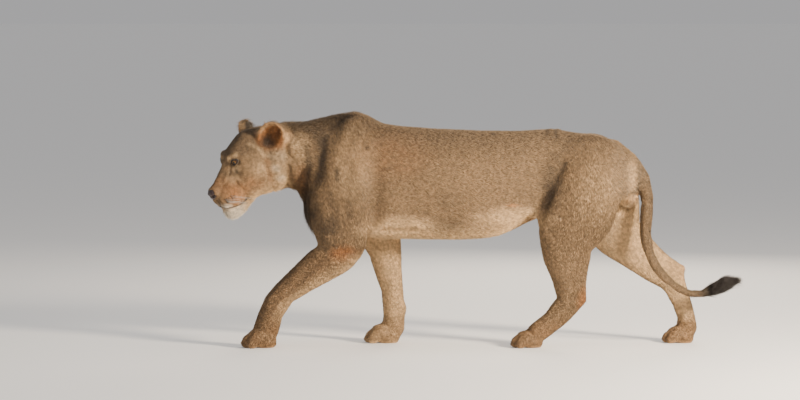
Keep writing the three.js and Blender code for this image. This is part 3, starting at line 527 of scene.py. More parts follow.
def eyeAxes(side):    # towards the outer corner, up and the way the eye faces
    flip = np.array([1, side, 1])
    facing = unit(np.array(eyePlan["facing"]) * flip)
    across = np.array(eyePlan["outward"]) * flip
    across = unit(across - facing * (across @ facing))
    up = np.cross(facing, across) * -side
    return np.array([across, up, facing]) @ headAxes


def openingShare(away, axes):    # 1 on the lids' edge, less inside it; away is from the eyeball's middle
    across, up, ahead = (unit(away) @ axes.T).T
    tilt = across * 0.10 - 0.02
    height = np.where(up > tilt, eyePlan["halfHeight"] * 1.05, eyePlan["halfHeight"] * 0.9)
    corner = np.clip(1 - (across / eyePlan["halfWidth"]) ** 2, 0, 1) ** 0.2
    share = np.sqrt((across / eyePlan["halfWidth"]) ** 2 + ((up - tilt) / (height * np.maximum(corner, 0.3))) ** 2)
    return np.where(ahead > 0, share, 9), ahead


for side, node in ((1, "eye_left"), (-1, "eye_right")):
    middle, axes, radius = middleOf(node), eyeAxes(side), eyePlan["radius"]
    away = points - middle
    reach = np.linalg.norm(away, axis=1)
    share, ahead = openingShare(away, axes)
    near = (reach < 0.045) & (ahead > -0.2)
    lid = smoothStep(0.95, 1.3, share) * (1 - smoothStep(1.5, 2.6, share)) * near
    wanted = np.maximum(reach, radius + eyePlan["lidThickness"])
    new = reach + (wanted - reach) * lid
    inside = near & (share < 1.05)
    new[inside] = np.minimum(new[inside], radius - 0.002)
    points = middle + away * (new / np.maximum(reach, 1e-6))[:, None]

# the nose's leather lies over a bed in the skin
nosePlan = {"top": -0.003, "bottom": -0.066, "columns": 61, "rows": 57, "thick": 0.003, "bed": 0.014}


def noseWidth(t):    # half width of the pad, from its top edge (0) to its foot (1)
    return np.interp(t, [0, 0.13, 0.30, 0.47, 0.60, 0.70, 0.80, 1.0],
                     [0.015, 0.0215, 0.0265, 0.0295, 0.0265, 0.016, 0.007, 0.0028])


noseDown, noseOver = np.meshgrid(np.linspace(0, 1, nosePlan["rows"]), np.linspace(-1, 1, nosePlan["columns"]),
                                 indexing="ij")
noseOut = noseOver * noseWidth(noseDown)
noseUp = nosePlan["top"] + (nosePlan["bottom"] - nosePlan["top"]) * noseDown
bareTree = treeOf(points, trianglesOf(fine))
noseFront = np.full(noseOut.shape, 0.04)
for place in np.ndindex(noseOut.shape):
    start = Vector(fromHead((-0.06, noseOut[place], noseUp[place])))
    hit = bareTree.ray_cast(start, Vector(headAxes[0]), 0.14)[0]
    if hit:
        noseFront[place] = toHead(np.array(hit)[None])[0][0]
local = toHead(points)
down = (local[:, 2] - nosePlan["top"]) / (nosePlan["bottom"] - nosePlan["top"])
inward = np.minimum(noseWidth(np.clip(down, 0, 1)) - np.abs(local[:, 1]), 0.03 * np.minimum(down, 1 - down))
facing = np.interp(local[:, 0], [-0.02, 0.045, 0.050], [1, 1, 0])
points = points + (nosePlan["bed"] * smoothStep(0.0006, 0.0045, inward) * facing)[:, None] * headAxes[0]
movePoints(fine, points)
print("skin modelled")

# thin the skin's mesh where it is plain, and unwrap it

def thinned(mesh, points):
    zones = zonesOf(points)
    plain = zones["body"] + 0.75 * zones["legs"] + 0.6 * zones["tail"] + 0.35 * zones["paws"] + 0.1 * zones["head"]
    holder = placed("work", mesh)
    group = holder.vertex_groups.new(name="plain")
    for step in range(11):
        chosen = np.nonzero(np.round(plain * 10) == step)[0]
        if len(chosen):
            group.add(chosen.tolist(), step / 10, "REPLACE")
    modifier = holder.modifiers.new("work", "DECIMATE")
    modifier.ratio = skinPlan["faces"] / (len(mesh.polygons) * 2)
    modifier.vertex_group = group.name
    modifier.vertex_group_factor = 1.5e-5
    made = applied(holder)
    return newMesh("skin", pointsOf(made), trianglesOf(made))


skinMesh = thinned(fine, points)
skin = placed("skin", skinMesh)
bpy.context.view_layer.objects.active = skin
skin.select_set(True)
skinMesh.uv_layers.new(name="OFBake")
bpy.ops.object.mode_set(mode="EDIT")
bpy.ops.mesh.select_all(action="SELECT")
bpy.ops.uv.smart_project(angle_limit=1.15, island_margin=0.004, scale_to_bounds=True)
bpy.ops.object.mode_set(mode="OBJECT")
skin.select_set(False)
skinUv = readOut(skinMesh.uv_layers["OFBake"].data, "uv", np.float32, 2).reshape(-1, 3, 2)
skinPoints, skinNormals, skinFaces = pointsOf(skinMesh), normalsOf(skinMesh), trianglesOf(skinMesh)
print("skin thinned and unwrapped:", len(skinFaces), "faces")


# markings: how pale, dark, rusty or white the coat is, the same for the skin and every tuft; a few of them are painted
# shade or painted light, each one said where it is laid

# kind, x, z, half length, half height, strength; ellipses on both sides of the body, but those narrower than 0.018 only
# on the left
blotches = [
    ("pale", -0.33, 0.535, 0.17, 0.060, 1.0),    # armpit fold
    ("pale", 0.17, 0.585, 0.17, 0.050, 0.75),    # low flank
    ("pale", 0.71, 0.770, 0.03, 0.080, 0.6),
    ("rust", -0.575, 0.432, 0.060, 0.040, 1.0),  # elbow
    ("rust", 0.500, 0.205, 0.035, 0.070, 0.9),   # hocks
    ("rust", 0.965, 0.330, 0.040, 0.060, 0.9),
    ("rust", 0.165, 0.640, 0.030, 0.008, 0.9),   # graze on the flank
    ("rust", -0.40, 0.86, 0.20, 0.10, 0.20),
    ("pale", -0.800, 0.880, 0.060, 0.080, 0.45),    # neck behind the ear
    ("pale", -0.540, 0.830, 0.100, 0.150, 0.30),    # painted light on the shoulder
    ("pale", 0.560, 0.700, 0.100, 0.150, 0.28),     # painted light on the thigh
    ("rust", -0.790, 0.760, 0.050, 0.065, 0.70),    # hollow behind the cheek: rusty coat here, painted shade on the next line
    # painted shade in the hollow behind the cheek
    ("dark", -0.800, 0.740, 0.045, 0.070, 0.50),
    ("dark", 0.345, 0.735, 0.062, 0.130, 0.58),  # painted shade in the flank hollow
    ("dark", 0.610, 0.500, 0.045, 0.110, 0.26),  # painted shade behind the knee
    ("dark", 0.520, 0.200, 0.030, 0.050, 0.26),  # painted shade before the hock
    # painted shade in the two croup folds
    ("dark", 0.325, 0.970, 0.012, 0.030, 0.6),
    ("dark", 0.360, 0.965, 0.012, 0.035, 0.6),
    ("dark", 0.082, 0.954, 0.014, 0.006, 0.8),   # nicks in the coat
    ("dark", -0.480, 0.905, 0.010, 0.016, 0.8),
    ("dark", -0.610, 0.790, 0.014, 0.034, 0.7),
    ("dark", -0.390, 0.810, 0.022, 0.008, 0.5),
    ("dark", -0.640, 0.560, 0.060, 0.045, 0.45),
    ("dark", -0.555, 0.640, 0.018, 0.060, 0.3),
    ("dark", -0.12, 0.66, 0.06, 0.05, 0.2),
    ("dark", -0.130, 0.545, 0.080, 0.045, 0.38),    # belly behind the armpit fold
]
# kind, points (x, z), reach, strength; streaks on both sides
streaks = [
    ("dark", [(-0.700, 0.965), (-0.680, 0.890), (-0.690, 0.770)], 0.038, 0.62),
    ("dark", [(-0.735, 0.700), (-0.725, 0.600)], 0.040, 0.7),
    ("dark", [(-0.760, 0.900), (-0.740, 0.800), (-0.755, 0.720)], 0.022, 0.55),
    ("dark", [(-0.650, 0.70), (-0.615, 0.62), (-0.62, 0.53)], 0.022, 0.3),
]
kinds = ("pale", "dark", "rust", "white")


def spot(local, at, reach):
    return 1 - smoothStep(0.15, 1.25, np.linalg.norm(local - np.array(at), axis=1) / reach)


# kind, strength, place (back, out, up) in the head's frame, reach; on both sides
faceSpots = [
    ("white", 0.8, (0.048, 0.030, -0.104), 0.030),    # upper lip
    ("pale", 0.65, (0.152, 0.060, 0.034), 0.024),     # under the eye
    ("pale", 0.5, (0.235, 0.100, -0.010), 0.050),
    ("rust", 0.80, (0.095, 0.055, -0.065), 0.062),    # muzzle
    # painted shade over the upper muzzle
    ("dark", 0.22, (0.075, 0.045, -0.030), 0.060),
    ("dark", 0.32, (0.045, 0.012, 0.004), 0.045),     # painted shade over the nose
    # painted shade below the eye, under the brow
    ("dark", 0.45, (0.140, 0.056, 0.020), 0.026),
    ("dark", 0.75, (0.128, 0.048, -0.115), 0.013),    # corner of the mouth
    ("rust", 0.45, (0.065, 0.010, -0.010), 0.055),    # bridge
    # painted shade on the bridge between the eyes
    ("dark", 0.35, (0.110, 0, 0.020), 0.040),
    ("rust", 0.35, (0.190, 0.080, -0.060), 0.070),
]
cheekSpots = [
    ("pale", 0.75, (0.335, 0.102, -0.010), 0.070),    # below the ear
    ("white", 0.35, (0.335, 0.102, 0.005), 0.052),
    ("pale", 0.9, (0.293, 0.132, -0.030), 0.030),     # cheek
    ("white", 0.45, (0.293, 0.132, -0.030), 0.024),
    ("pale", 0.85, (0.298, 0.128, -0.078), 0.030),
    ("white", 0.425, (0.298, 0.128, -0.078), 0.024),
    ("pale", 0.6, (0.300, 0.100, -0.090), 0.075),
]
paleStrip = [(0.255, 0.060, 0.104), (0.275, 0.093, 0.072), (0.276, 0.110, 0.036)]    # below the ear's front
jawEdge = [(0.276, 0.120, 0.014), (0.262, 0.122, -0.030), (0.256, 0.112, -0.080), (0.262, 0.100, -0.112)]

earAxes = []
earPlan = {"at": (0.352, 0.105, 0.094), "up": (0.42, 0.42, 0.8), "facing": (-0.64, 0.76, 0.05)}
for earSide in (1, -1):
    flip = np.array([1, earSide, 1])
    earUp = unit(np.array(earPlan["up"]) * flip)
    earFacing = np.array(earPlan["facing"]) * flip
    earFacing = unit(earFacing - earUp * (earFacing @ earUp))
    earAxes.append((np.array(earPlan["at"]) * flip, np.array([np.cross(earUp, earFacing), earUp, earFacing])))


def earSense(local, facing):    # in the nearer ear's own frame: place across and up it, and how far it faces out
    right = local[:, 1] < 0
    place, turned = np.empty_like(local), np.empty_like(local)
    for chosen, (middle, axes) in zip((~right, right), earAxes):
        place[chosen] = (local[chosen] - middle) @ axes.T
        turned[chosen] = facing[chosen] @ axes.T
    return place, turned


def rimOf(place):    # 1 on the ear's rim
    return np.sqrt((place[:, 0] / 0.060) ** 2 + (place[:, 1] / 0.071) ** 2)


def markBody(add, points, normals, zones):    # gives back the share of the darker back
    shares, spans, _, head = bodySense(points)
    x, y, z = points.T
    beyondHead = 1 - head
    sides = points[:, [0, 2]]
    for kind, bx, bz, wide, tall, strength in blotches:
        off = np.sqrt(((x - bx) / wide) ** 2 + ((z - bz) / tall) ** 2) + 9 * (min(wide, tall) < 0.018) * (y > 0)
        add(kind, strength * (1 - smoothStep(0.25, 1.45, off)) * beyondHead * (1 - zones["tail"]))
    for kind, line, reach, strength in streaks:
        add(kind, strength * (1 - smoothStep(0.0, 1.35, offLine(sides, line) / reach)) * beyondHead)
    under = smoothStep(0.35, 0.95, -normals[:, 2])
    add("pale", 0.95 * under * zones["body"] * (z < 0.70))
    for name, inward in (("leftFore", 1), ("rightFore", -1), ("leftHind", 1), ("rightHind", -1)):
        inner = smoothStep(0.05, 0.85, normals[:, 1] * inward) * smoothStep(0.3, 0.8, shares[name])
        add("pale", 0.8 * inner * (1 - zones["paws"]) * (z < 0.72))
    lowerArm = smoothStep(0.3, 0.8, shares["leftFore"]) * (1 - smoothStep(0.40, 0.46, z)) * (1 - zones["paws"])
    add("pale", 0.7 * smoothStep(0.0, 0.7, -normals[:, 2] + 0.3 * normals[:, 0]) * lowerArm)
    add("dark", 0.35 * smoothStep(0.1, 0.8, normals[:, 2] - normals[:, 0] * 0.4) * lowerArm)
    rearArm = smoothStep(0.3, 0.8, shares["rightFore"]) * (1 - smoothStep(0.40, 0.46, z))
    add("pale", 0.35 * rearArm)
    add("rust", 0.14 * zones["paws"] + 0.10 * lowerArm)
    breast = smoothStep(0.25, 0.7, shares["breast"]) * smoothStep(0.1, 0.8, -normals[:, 0])
    add("dark", 0.8 * breast * smoothStep(0.50, 0.56, z) * (1 - smoothStep(0.66, 0.74, z)))
    crest = smoothStep(0.55, 0.95, normals[:, 2]) * smoothStep(-0.88, -0.82, x) * (1 - smoothStep(-0.62, -0.52, x))
    add("dark", 0.6 * crest * (1 - head))
    back = smoothStep(0.2, 0.95, normals[:, 2]) * zones["body"] * smoothStep(0.80, 0.90, z)
    saddle = np.clip(0.60 * back + 0.45 * smoothStep(0.72, 0.96, z) * zones["body"], 0, 1)
    tuftEnd = smoothStep(0.80, 0.86, spans["tail"]) * smoothStep(0.4, 0.8, shares["tail"]) * (x > 0.8)
    add("dark", tuftEnd)
    saddle = np.maximum(saddle, zones["tail"] * (0.30 + 0.55 * smoothStep(-0.1, 0.7, normals[:, 0])))
    add("dark", 0.35 * zones["tail"] * smoothStep(0.93, 1.04, x))
    off = offScrotum(points)
    add("pale", 0.7 * (1 - smoothStep(0.9, 1.3, off)))
    add("rust", 0.6 * (1 - smoothStep(0.9, 1.3, off)))
    # painted shade: a dark ring in the groove round the scrotum's base
    add("dark", 0.55 * np.exp(-((off - 1.5) / 0.16) ** 2) * (z < 0.75))
    return saddle


def markHead(add, points, turned, face, head, ears):    # gives back the share of bare skin
    local = toHead(points)
    mirrored = local * np.array([1, 0, 1]) + np.abs(local) * np.array([0, 1, 0])
    back, up = mirrored[:, 0], mirrored[:, 2]
    add("white", face * smoothStep(-0.114, -0.130, up) * (1 - smoothStep(0.085, 0.150, back)))
    add("pale", 0.7 * face * smoothStep(-0.108, -0.130, up) * (1 - smoothStep(0.16, 0.22, back)))
    for kind, strength, place, reach in faceSpots:
        add(kind, strength * face * spot(mirrored, place, reach))
    add("pale", 0.85 * face * np.maximum(spot(mirrored, (0.152, 0.034, 0.082), 0.018),
                                          spot(mirrored, (0.176, 0.056, 0.090), 0.017)))
    for kind, strength, place, reach in cheekSpots:
        add(kind, strength * head * spot(mirrored, place, reach))
    for kind, strength, line, reach in (("pale", 0.8, paleStrip, 0.016), ("rust", 0.75, jawEdge, 0.020),
                                        ("dark", 0.40, jawEdge, 0.014)):
        add(kind, strength * head * (1 - smoothStep(0.0, 1.0, offLine(mirrored, line) / reach)))
    add("pale", 0.9 * head * smoothStep(0.2, 0.8, -turned[:, 2]) * smoothStep(0.12, 0.2, back))
    # painted shade over the brow and forehead
    add("dark", 0.50 * face * smoothStep(0.10, 0.20, back) * smoothStep(0.045, 0.10, up) * (1 - ears))
    add("dark", 0.55 * face * (1 - smoothStep(0.0, 1.0, offLine(mirrored, laidLines["tear groove"]) / 0.012)))
    lips = 1 - smoothStep(0.5, 1.0, offLine(mirrored, laidLines["mouth"]) / 0.0060)
    bare = face * lips
    for side, node in ((1, "eye_left"), (-1, "eye_right")):
        away = points - middleOf(node)
        share = openingShare(away, eyeAxes(side))[0]
        near = 1 - smoothStep(0.024, 0.030, np.linalg.norm(away, axis=1))
        near = near * (1 - smoothStep(0.84, 0.96, np.abs(unit(away) @ eyeAxes(side)[0])))
        bare = np.maximum(bare, near * (1 - smoothStep(1.2, 1.6, share)))
        add("dark", 0.6 * near * (1 - smoothStep(1.3, 2.4, share)))
    return np.clip(bare, 0, 1)


def markEars(add, points, turned, ears):
    place, earTurn = earSense(toHead(points), turned)
    rim = rimOf(place)
    inside, outside = smoothStep(0.0, 0.4, earTurn[:, 2]), smoothStep(0.0, 0.4, -earTurn[:, 2])
    # painted light: an orange glow over the ear's inside, as of light shining through it
    add("rust", 0.9 * ears * inside)
    edge = smoothStep(0.84, 0.98, rim) * smoothStep(-0.03, 0.01, place[:, 1])
    add("pale", 0.75 * ears * edge * (0.3 + 0.7 * inside))
    add("dark", 0.9 * ears * outside * (1 - smoothStep(0.75, 0.95, rim)))
    # painted shade in the ear's opening
    add("dark", 0.95 * ears * inside * spot(place * np.array([1, 1, 0]), (0.010, -0.026, 0), 0.040))


def markingsAndPaintedLightOf(points, normals):
    zones = zonesOf(points)
    marks = {kind: np.zeros(len(points)) for kind in kinds}

    def add(kind, amount):
        marks[kind] = 1 - (1 - marks[kind]) * (1 - np.clip(amount, 0, 1))

    turned = normals @ headAxes.T
    saddle = markBody(add, points, normals, zones)
    bare = markHead(add, points, turned, zones["head"], headShare(points), zones["ears"])
    markEars(add, points, turned, zones["ears"])
    return marks, bare, saddle


strokeLines = {name: curved([np.array(p) for p in line], 4) for name, line, reach, height in headStrokes}
finishedTree = treeOf(skinPoints, skinFaces)
laidLines = {name: np.array([toHead(ontoSkin(finishedTree, fromHead(p))[None])[0] for p in line])
             for name, line in strokeLines.items()}


def colourPoints(mesh, marks, bare, saddle, chance, along):
    first = np.stack([marks[kind] for kind in kinds], 1)
    second = np.stack([bare, saddle, chance, along], 1)
    for name, values in (("coatMarks", first), ("coatShade", second)):
        layer = mesh.color_attributes.new(name, "FLOAT_COLOR", "POINT")
        layer.data.foreach_set("color", values.astype(np.float32).ravel())


marks, bare, saddle = markingsAndPaintedLightOf(skinPoints, skinNormals)
colourPoints(skinMesh, marks, bare, saddle, np.full(len(skinPoints), 0.5), np.full(len(skinPoints), 0.25))
print("markings laid")


# finishes

coatColours = {
    "sand": (0.262, 0.164, 0.083),
    "back": (0.138, 0.090, 0.050),
    "pale": (0.640, 0.430, 0.225),
    "white": (0.700, 0.610, 0.480),
    "rust": (0.360, 0.150, 0.050),
    "dark": (0.026, 0.019, 0.014),
    "bare": (0.012, 0.009, 0.008),
    "tick": (0.035, 0.026, 0.018),
}


def wire(tree, *links):
    for start, end in links:
        tree.links.new(start, end)


def nodeOf(tree, kind, **values):
    node = tree.nodes.new(kind)
    for key, value in values.items():
        if key.startswith("in_"):
            key = key[3:]
            node.inputs[int(key) if key.isdigit() else key].default_value = value
        else:
            setattr(node, key, value)
    return node


def blended(tree, factor, first, second):    # a colour mix; first and second are sockets or colours
    node = nodeOf(tree, "ShaderNodeMix", data_type="RGBA")
    tree.links.new(factor, node.inputs["Factor"])
    for value, socket in ((first, node.inputs["A"]), (second, node.inputs["B"])):
        if hasattr(value, "node"):
            tree.links.new(value, socket)
        else:
            socket.default_value = (*value, 1)
    return node.outputs["Result"]


def sums(tree, kind, first, second, third=None):
    node = nodeOf(tree, "ShaderNodeMath", operation=kind)
    for value, socket in zip((first, second, third), node.inputs):
        if value is None:
            continue
        if hasattr(value, "node"):
            tree.links.new(value, socket)
        else:
            socket.default_value = value
    return node.outputs[0]


def ramped(tree, value, low, high):    # value taken from low..high to 0..1, softly
    node = nodeOf(tree, "ShaderNodeMapRange", interpolation_type="SMOOTHSTEP")
    node.inputs["From Min"].default_value, node.inputs["From Max"].default_value = low, high
    tree.links.new(value, node.inputs["Value"])
    return node.outputs["Result"]


def buildCoatGroup():
    group = bpy.data.node_groups.new("lionCoat", "ShaderNodeTree")
    for name, kind in (("Marks", "NodeSocketColor"), ("White", "NodeSocketFloat"), ("Shade", "NodeSocketColor"),
                       ("Along", "NodeSocketFloat"), ("Tick Strength", "NodeSocketFloat")):
        group.interface.new_socket(name, in_out="INPUT", socket_type=kind)
    for name, kind in (("Color", "NodeSocketColor"), ("Roughness", "NodeSocketFloat"), ("Height", "NodeSocketFloat")):
        group.interface.new_socket(name, in_out="OUTPUT", socket_type=kind)
    given, made = group.nodes.new("NodeGroupInput"), group.nodes.new("NodeGroupOutput")
    place = nodeOf(group, "ShaderNodeTexCoord").outputs["Object"]

    def noise(scale, detail):
        node = nodeOf(group, "ShaderNodeTexNoise", in_Scale=scale, in_Detail=detail)
        group.links.new(place, node.inputs["Vector"])
        return node.outputs["Fac"]

    broad, patchy, clumped, hairs = noise(3.5, 3), noise(24, 4), noise(72, 3), noise(330, 2)
    marksOf = nodeOf(group, "ShaderNodeSeparateColor")
    shadeOf = nodeOf(group, "ShaderNodeSeparateColor")
    wire(group, (given.outputs["Marks"], marksOf.inputs[0]), (given.outputs["Shade"], shadeOf.inputs[0]))
    wander = sums(group, "MULTIPLY_ADD", patchy, 0.5, -0.25)

    def edged(mask):    # a mask whose edge wanders
        spread = sums(group, "MULTIPLY", mask, sums(group, "SUBTRACT", 1.0, mask))
        return sums(group, "MULTIPLY_ADD", sums(group, "MULTIPLY", wander, 5.0), spread, mask)

    colour = blended(group, ramped(group, broad, 0.3, 0.7), coatColours["sand"],
                     tuple(c * 0.84 for c in coatColours["sand"]))
    colour = blended(group, edged(shadeOf.outputs[1]), colour, coatColours["back"])
    colour = blended(group, edged(marksOf.outputs[2]), colour, coatColours["rust"])
    colour = blended(group, edged(marksOf.outputs[0]), colour, coatColours["pale"])
    colour = blended(group, edged(given.outputs["White"]), colour, coatColours["white"])
    lightness = nodeOf(group, "ShaderNodeHueSaturation")
    vary = sums(group, "MULTIPLY_ADD", shadeOf.outputs[2], 0.38, 0.81)
    clumps = sums(group, "MULTIPLY_ADD", ramped(group, clumped, 0.34, 0.66), 0.46, 0.76)
    vary = sums(group, "MULTIPLY", vary, clumps)
    wire(group, (colour, lightness.inputs["Color"]), (vary, lightness.inputs["Value"]))
    colour = lightness.outputs["Color"]
    speckle = ramped(group, sums(group, "MULTIPLY_ADD", shadeOf.outputs[2], 0.35, hairs), 0.55, 0.85)
    tips = ramped(group, given.outputs["Along"], 0.45, 1.0)
    tick = sums(group, "MULTIPLY", sums(group, "MULTIPLY", speckle, tips), given.outputs["Tick Strength"])
    lightMarks = sums(group, "MAXIMUM", marksOf.outputs[0], given.outputs["White"])
    tick = sums(group, "MULTIPLY", tick, sums(group, "MULTIPLY_ADD", lightMarks, -0.85, 1.0))
    colour = blended(group, tick, colour, coatColours["tick"])
    colour = blended(group, edged(marksOf.outputs[1]), colour, coatColours["dark"])
    bareness = ramped(group, shadeOf.outputs[0], 0.35, 0.75)
    colour = blended(group, bareness, colour, coatColours["bare"])
    rough = sums(group, "MULTIPLY_ADD", bareness, -0.38, 0.82)
    height = sums(group, "ADD", sums(group, "MULTIPLY", hairs, 0.8), sums(group, "MULTIPLY", patchy, 0.5))
    wire(group, (colour, made.inputs["Color"]), (rough, made.inputs["Roughness"]), (height, made.inputs["Height"]))
    return group


coatGroup = buildCoatGroup()


def principled(name, **values):
    material = bpy.data.materials.new(name)
    material.use_nodes = True
    shader = material.node_tree.nodes["Principled BSDF"]
    for key, value in values.items():
        shader.inputs[key.replace("_", " ")].default_value = value
    return material, material.node_tree, shader


def coatFinish(name, tickStrength, bump, sheen):
    material, tree, shader = principled(name, Sheen_Weight=sheen, Sheen_Roughness=0.5)
    shader.inputs["Sheen Tint"].default_value = (0.9, 0.8, 0.65, 1)
    shader.inputs["Specular IOR Level"].default_value = 0.28
    coat = nodeOf(tree, "ShaderNodeGroup", node_tree=coatGroup)
    coat.inputs["Tick Strength"].default_value = tickStrength
    marksIn = nodeOf(tree, "ShaderNodeAttribute", attribute_name="coatMarks")
    shadeIn = nodeOf(tree, "ShaderNodeAttribute", attribute_name="coatShade")
    wire(tree, (marksIn.outputs["Color"], coat.inputs["Marks"]), (marksIn.outputs["Alpha"], coat.inputs["White"]),
         (shadeIn.outputs["Color"], coat.inputs["Shade"]), (shadeIn.outputs["Alpha"], coat.inputs["Along"]),
         (coat.outputs["Color"], shader.inputs["Base Color"]),
         (coat.outputs["Roughness"], shader.inputs["Roughness"]))
    if bump:
        relief = nodeOf(tree, "ShaderNodeBump", in_Strength=bump, in_Distance=0.0016)
        wire(tree, (coat.outputs["Height"], relief.inputs["Height"]),
             (relief.outputs["Normal"], shader.inputs["Normal"]))
    return material


skinFinish = coatFinish("skinFur", tickStrength=0.6, bump=0.6, sheen=0.12)
tuftFinish = coatFinish("tuftFur", tickStrength=0.78, bump=0, sheen=0.12)
darkFinish = coatFinish("darkFur", tickStrength=0.3, bump=0, sheen=0.0)
skinMesh.materials.append(skinFinish)
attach(skin, "root")
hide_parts(*[name for name in fleshNodes if name not in ("nose_pad", "tail_tuft")])


# the coat: thin closed tufts that lie along the body

coatPlan = {    # tufts per square metre, length, width and lift in degrees, zone by zone
    "body": {"count": 57000, "length": 0.022, "width": 0.0028, "lift": 9},
    "legs": {"count": 84000, "length": 0.015, "width": 0.0024, "lift": 11},
    "paws": {"count": 130000, "length": 0.0100, "width": 0.0019, "lift": 13},
    "tail": {"count": 100000, "length": 0.014, "width": 0.0023, "lift": 10},
    "head": {"count": 170000, "length": 0.0100, "width": 0.0015, "lift": 10},
    "ears": {"count": 130000, "length": 0.008, "width": 0.0013, "lift": 11},
}
tuftShape = {"sunk": 0.0003, "ridge": 0.8, "patch": 0.003, "floorGap": 0.0006, "turn": 0.16}
faceCorners = skinPoints[skinFaces]
firstEdge, secondEdge = faceCorners[:, 1] - faceCorners[:, 0], faceCorners[:, 2] - faceCorners[:, 0]
faceArea = np.linalg.norm(np.cross(firstEdge, secondEdge), axis=1) / 2
faceMiddle = faceCorners.mean(1)
faceZones = zonesOf(faceMiddle)
faceNormals = unit(skinNormals[skinFaces].mean(1))
faceBare = markingsAndPaintedLightOf(faceMiddle, faceNormals)[1]


def lieOf(points, normals):    # the way the hair points, along the skin
    shares, _, flow, head = bodySense(points)
    flow = flow + np.array([0, 0, -0.22]) * (shares["trunk"] + shares["neck"])[:, None]
    local = toHead(points)
    mirror = np.sign(local[:, 1])
    backward = np.stack([np.ones(len(points)), mirror * 0.25, np.full(len(points), -0.25)], 1)
    cheek = smoothStep(0.16, 0.28, local[:, 0]) * (1 - smoothStep(-0.02, 0.05, local[:, 2]))
    backward[:, 2] -= 0.5 * cheek
    chin = (1 - smoothStep(0.10, 0.16, local[:, 0])) * (1 - smoothStep(-0.13, -0.10, local[:, 2]))
    backward[:, 2] -= 0.8 * chin
    place = earSense(local, normals @ headAxes.T)[0]
    upEar = np.where((local[:, 1] > 0)[:, None], earAxes[0][1][1], earAxes[1][1][1])
    outEar = np.where((local[:, 1] > 0)[:, None], earAxes[0][1][0], earAxes[1][1][0])
    ears = zonesOf(points)["ears"][:, None]
    spreadEar = unit(upEar * 0.8 + outEar * np.clip(place[:, :1] / 0.06, -1, 1))
    headLie = unit(backward * (1 - ears) + spreadEar * ears) @ headAxes
    lie = flow * (1 - head[:, None]) + headLie * head[:, None]
    lie = lie - normals * (lie * normals).sum(1, keepdims=True)
    return unit(lie)


skinLie = lieOf(skinPoints, skinNormals)
skinZones = zonesOf(skinPoints)
skinEdges = edgesOf(skinMesh)
turning = mixed(skinZones, {"body": 0.9, "legs": 0.7, "paws": 0.5, "tail": 0.5, "head": 0.0, "ears": 0.0})
skinLie = evened(skinLie, skinEdges, turning, 60)
skinLie = evened(skinLie, skinEdges, 0.6 * (1 - skinZones["ears"]), 5)


def scattered(count, weight):    # roots on the skin, evenly by weight
    run = np.cumsum(faceArea * weight)
    spots = (np.arange(count) + rng.random(count)) / count * run[-1]
    face = np.minimum(np.searchsorted(run, spots), len(skinFaces) - 1)
    a, b = rng.random((2, count))
    flip = a + b > 1
    a[flip], b[flip] = 1 - a[flip], 1 - b[flip]
    share = np.stack([1 - a - b, a, b], 1)[:, :, None]
    roots = (faceCorners[face] * share).sum(1)
    normals = unit((skinNormals[skinFaces[face]] * share).sum(1))
    lie = (skinLie[skinFaces[face]] * share).sum(1)
    lie = unit(lie - normals * (lie * normals).sum(1, keepdims=True))
    return roots, normals, (skinUv[face] * share).sum(1), lie


def growTufts(name, roots, normals, rootUv, lie, length, width, lift, rings=1, droop=0.0, markFrom=None,
              replaced=(), finish=None):
    count = len(roots)
    across = np.cross(normals, lie)
    steps = np.arange(rings) / rings
    rise = np.sin(lift)[:, None]
    ahead = np.cos(lift)[:, None]
    groups, alongs, uvs = [], [], []
    for t in [*steps, 1.0]:
        arc = t * (1 - 0.45 * t) / 0.55 if rings > 1 else t
        middle = roots + length[:, None] * (lie * ahead * t + normals * rise * arc)
        middle = middle + np.array([0, 0, -1]) * (droop * length * t * t)[:, None] - normals * tuftShape["sunk"]
        half = (width * (1 - t) ** 0.75 * 0.5)[:, None]
        shift = np.tile([[0.0, t]], (count, 1)) * tuftShape["patch"]
        if t < 1:
            groups += [middle - across * half, middle + across * half, middle + normals * half * tuftShape["ridge"]]
            alongs += [np.full(count, t)] * 3
            aside = [tuftShape["patch"] / 2, 0]
            uvs += [rootUv + shift - aside, rootUv + shift + aside, rootUv + shift]
        else:
            groups.append(middle)
            alongs.append(np.full(count, 1.0))
            uvs.append(rootUv + shift)
    size = 3 * rings + 1
    tuftPoints = np.stack(groups, 1).reshape(-1, 3)
    tuftPoints[:, 2] = np.maximum(tuftPoints[:, 2], tuftShape["floorGap"])
    pattern = [(0, 1, 2)]
    for ring in range(rings - 1):
        low, high = 3 * ring, 3 * ring + 3
        for i, j in ((0, 2), (2, 1), (1, 0)):
            pattern += [(low + i, low + j, high + j), (low + i, high + j, high + i)]
    last = 3 * (rings - 1)
    pattern += [(last + i, last + j, size - 1) for i, j in ((0, 2), (2, 1), (1, 0))]
    faces = (np.arange(count)[:, None, None] * size + np.array(pattern)[None, :, ::-1]).reshape(-1, 3)
    mesh = newMesh(name, tuftPoints, faces)
    marks, bare, saddle = markFrom if markFrom else markingsAndPaintedLightOf(roots, normals)
    chance = rng.random(count)
    spreadOut = lambda values: np.repeat(values, size)
    colourPoints(mesh, {kind: spreadOut(marks[kind]) for kind in kinds}, spreadOut(bare), spreadOut(saddle),
                 spreadOut(chance), np.stack(alongs, 1).ravel())
    layer = mesh.uv_layers.new(name="OFBake")
    corner = np.stack(uvs, 1).reshape(-1, 2)[faces.ravel()]
    layer.data.foreach_set("uv", np.clip(corner, 0, 1).astype(np.float32).ravel())
    return newPiece(name, mesh, finish or tuftFinish, replaced)


trunkCuts = [-0.62, -0.32, 0.0, 0.32]    # x between neck, shoulder, chest, flank and rump


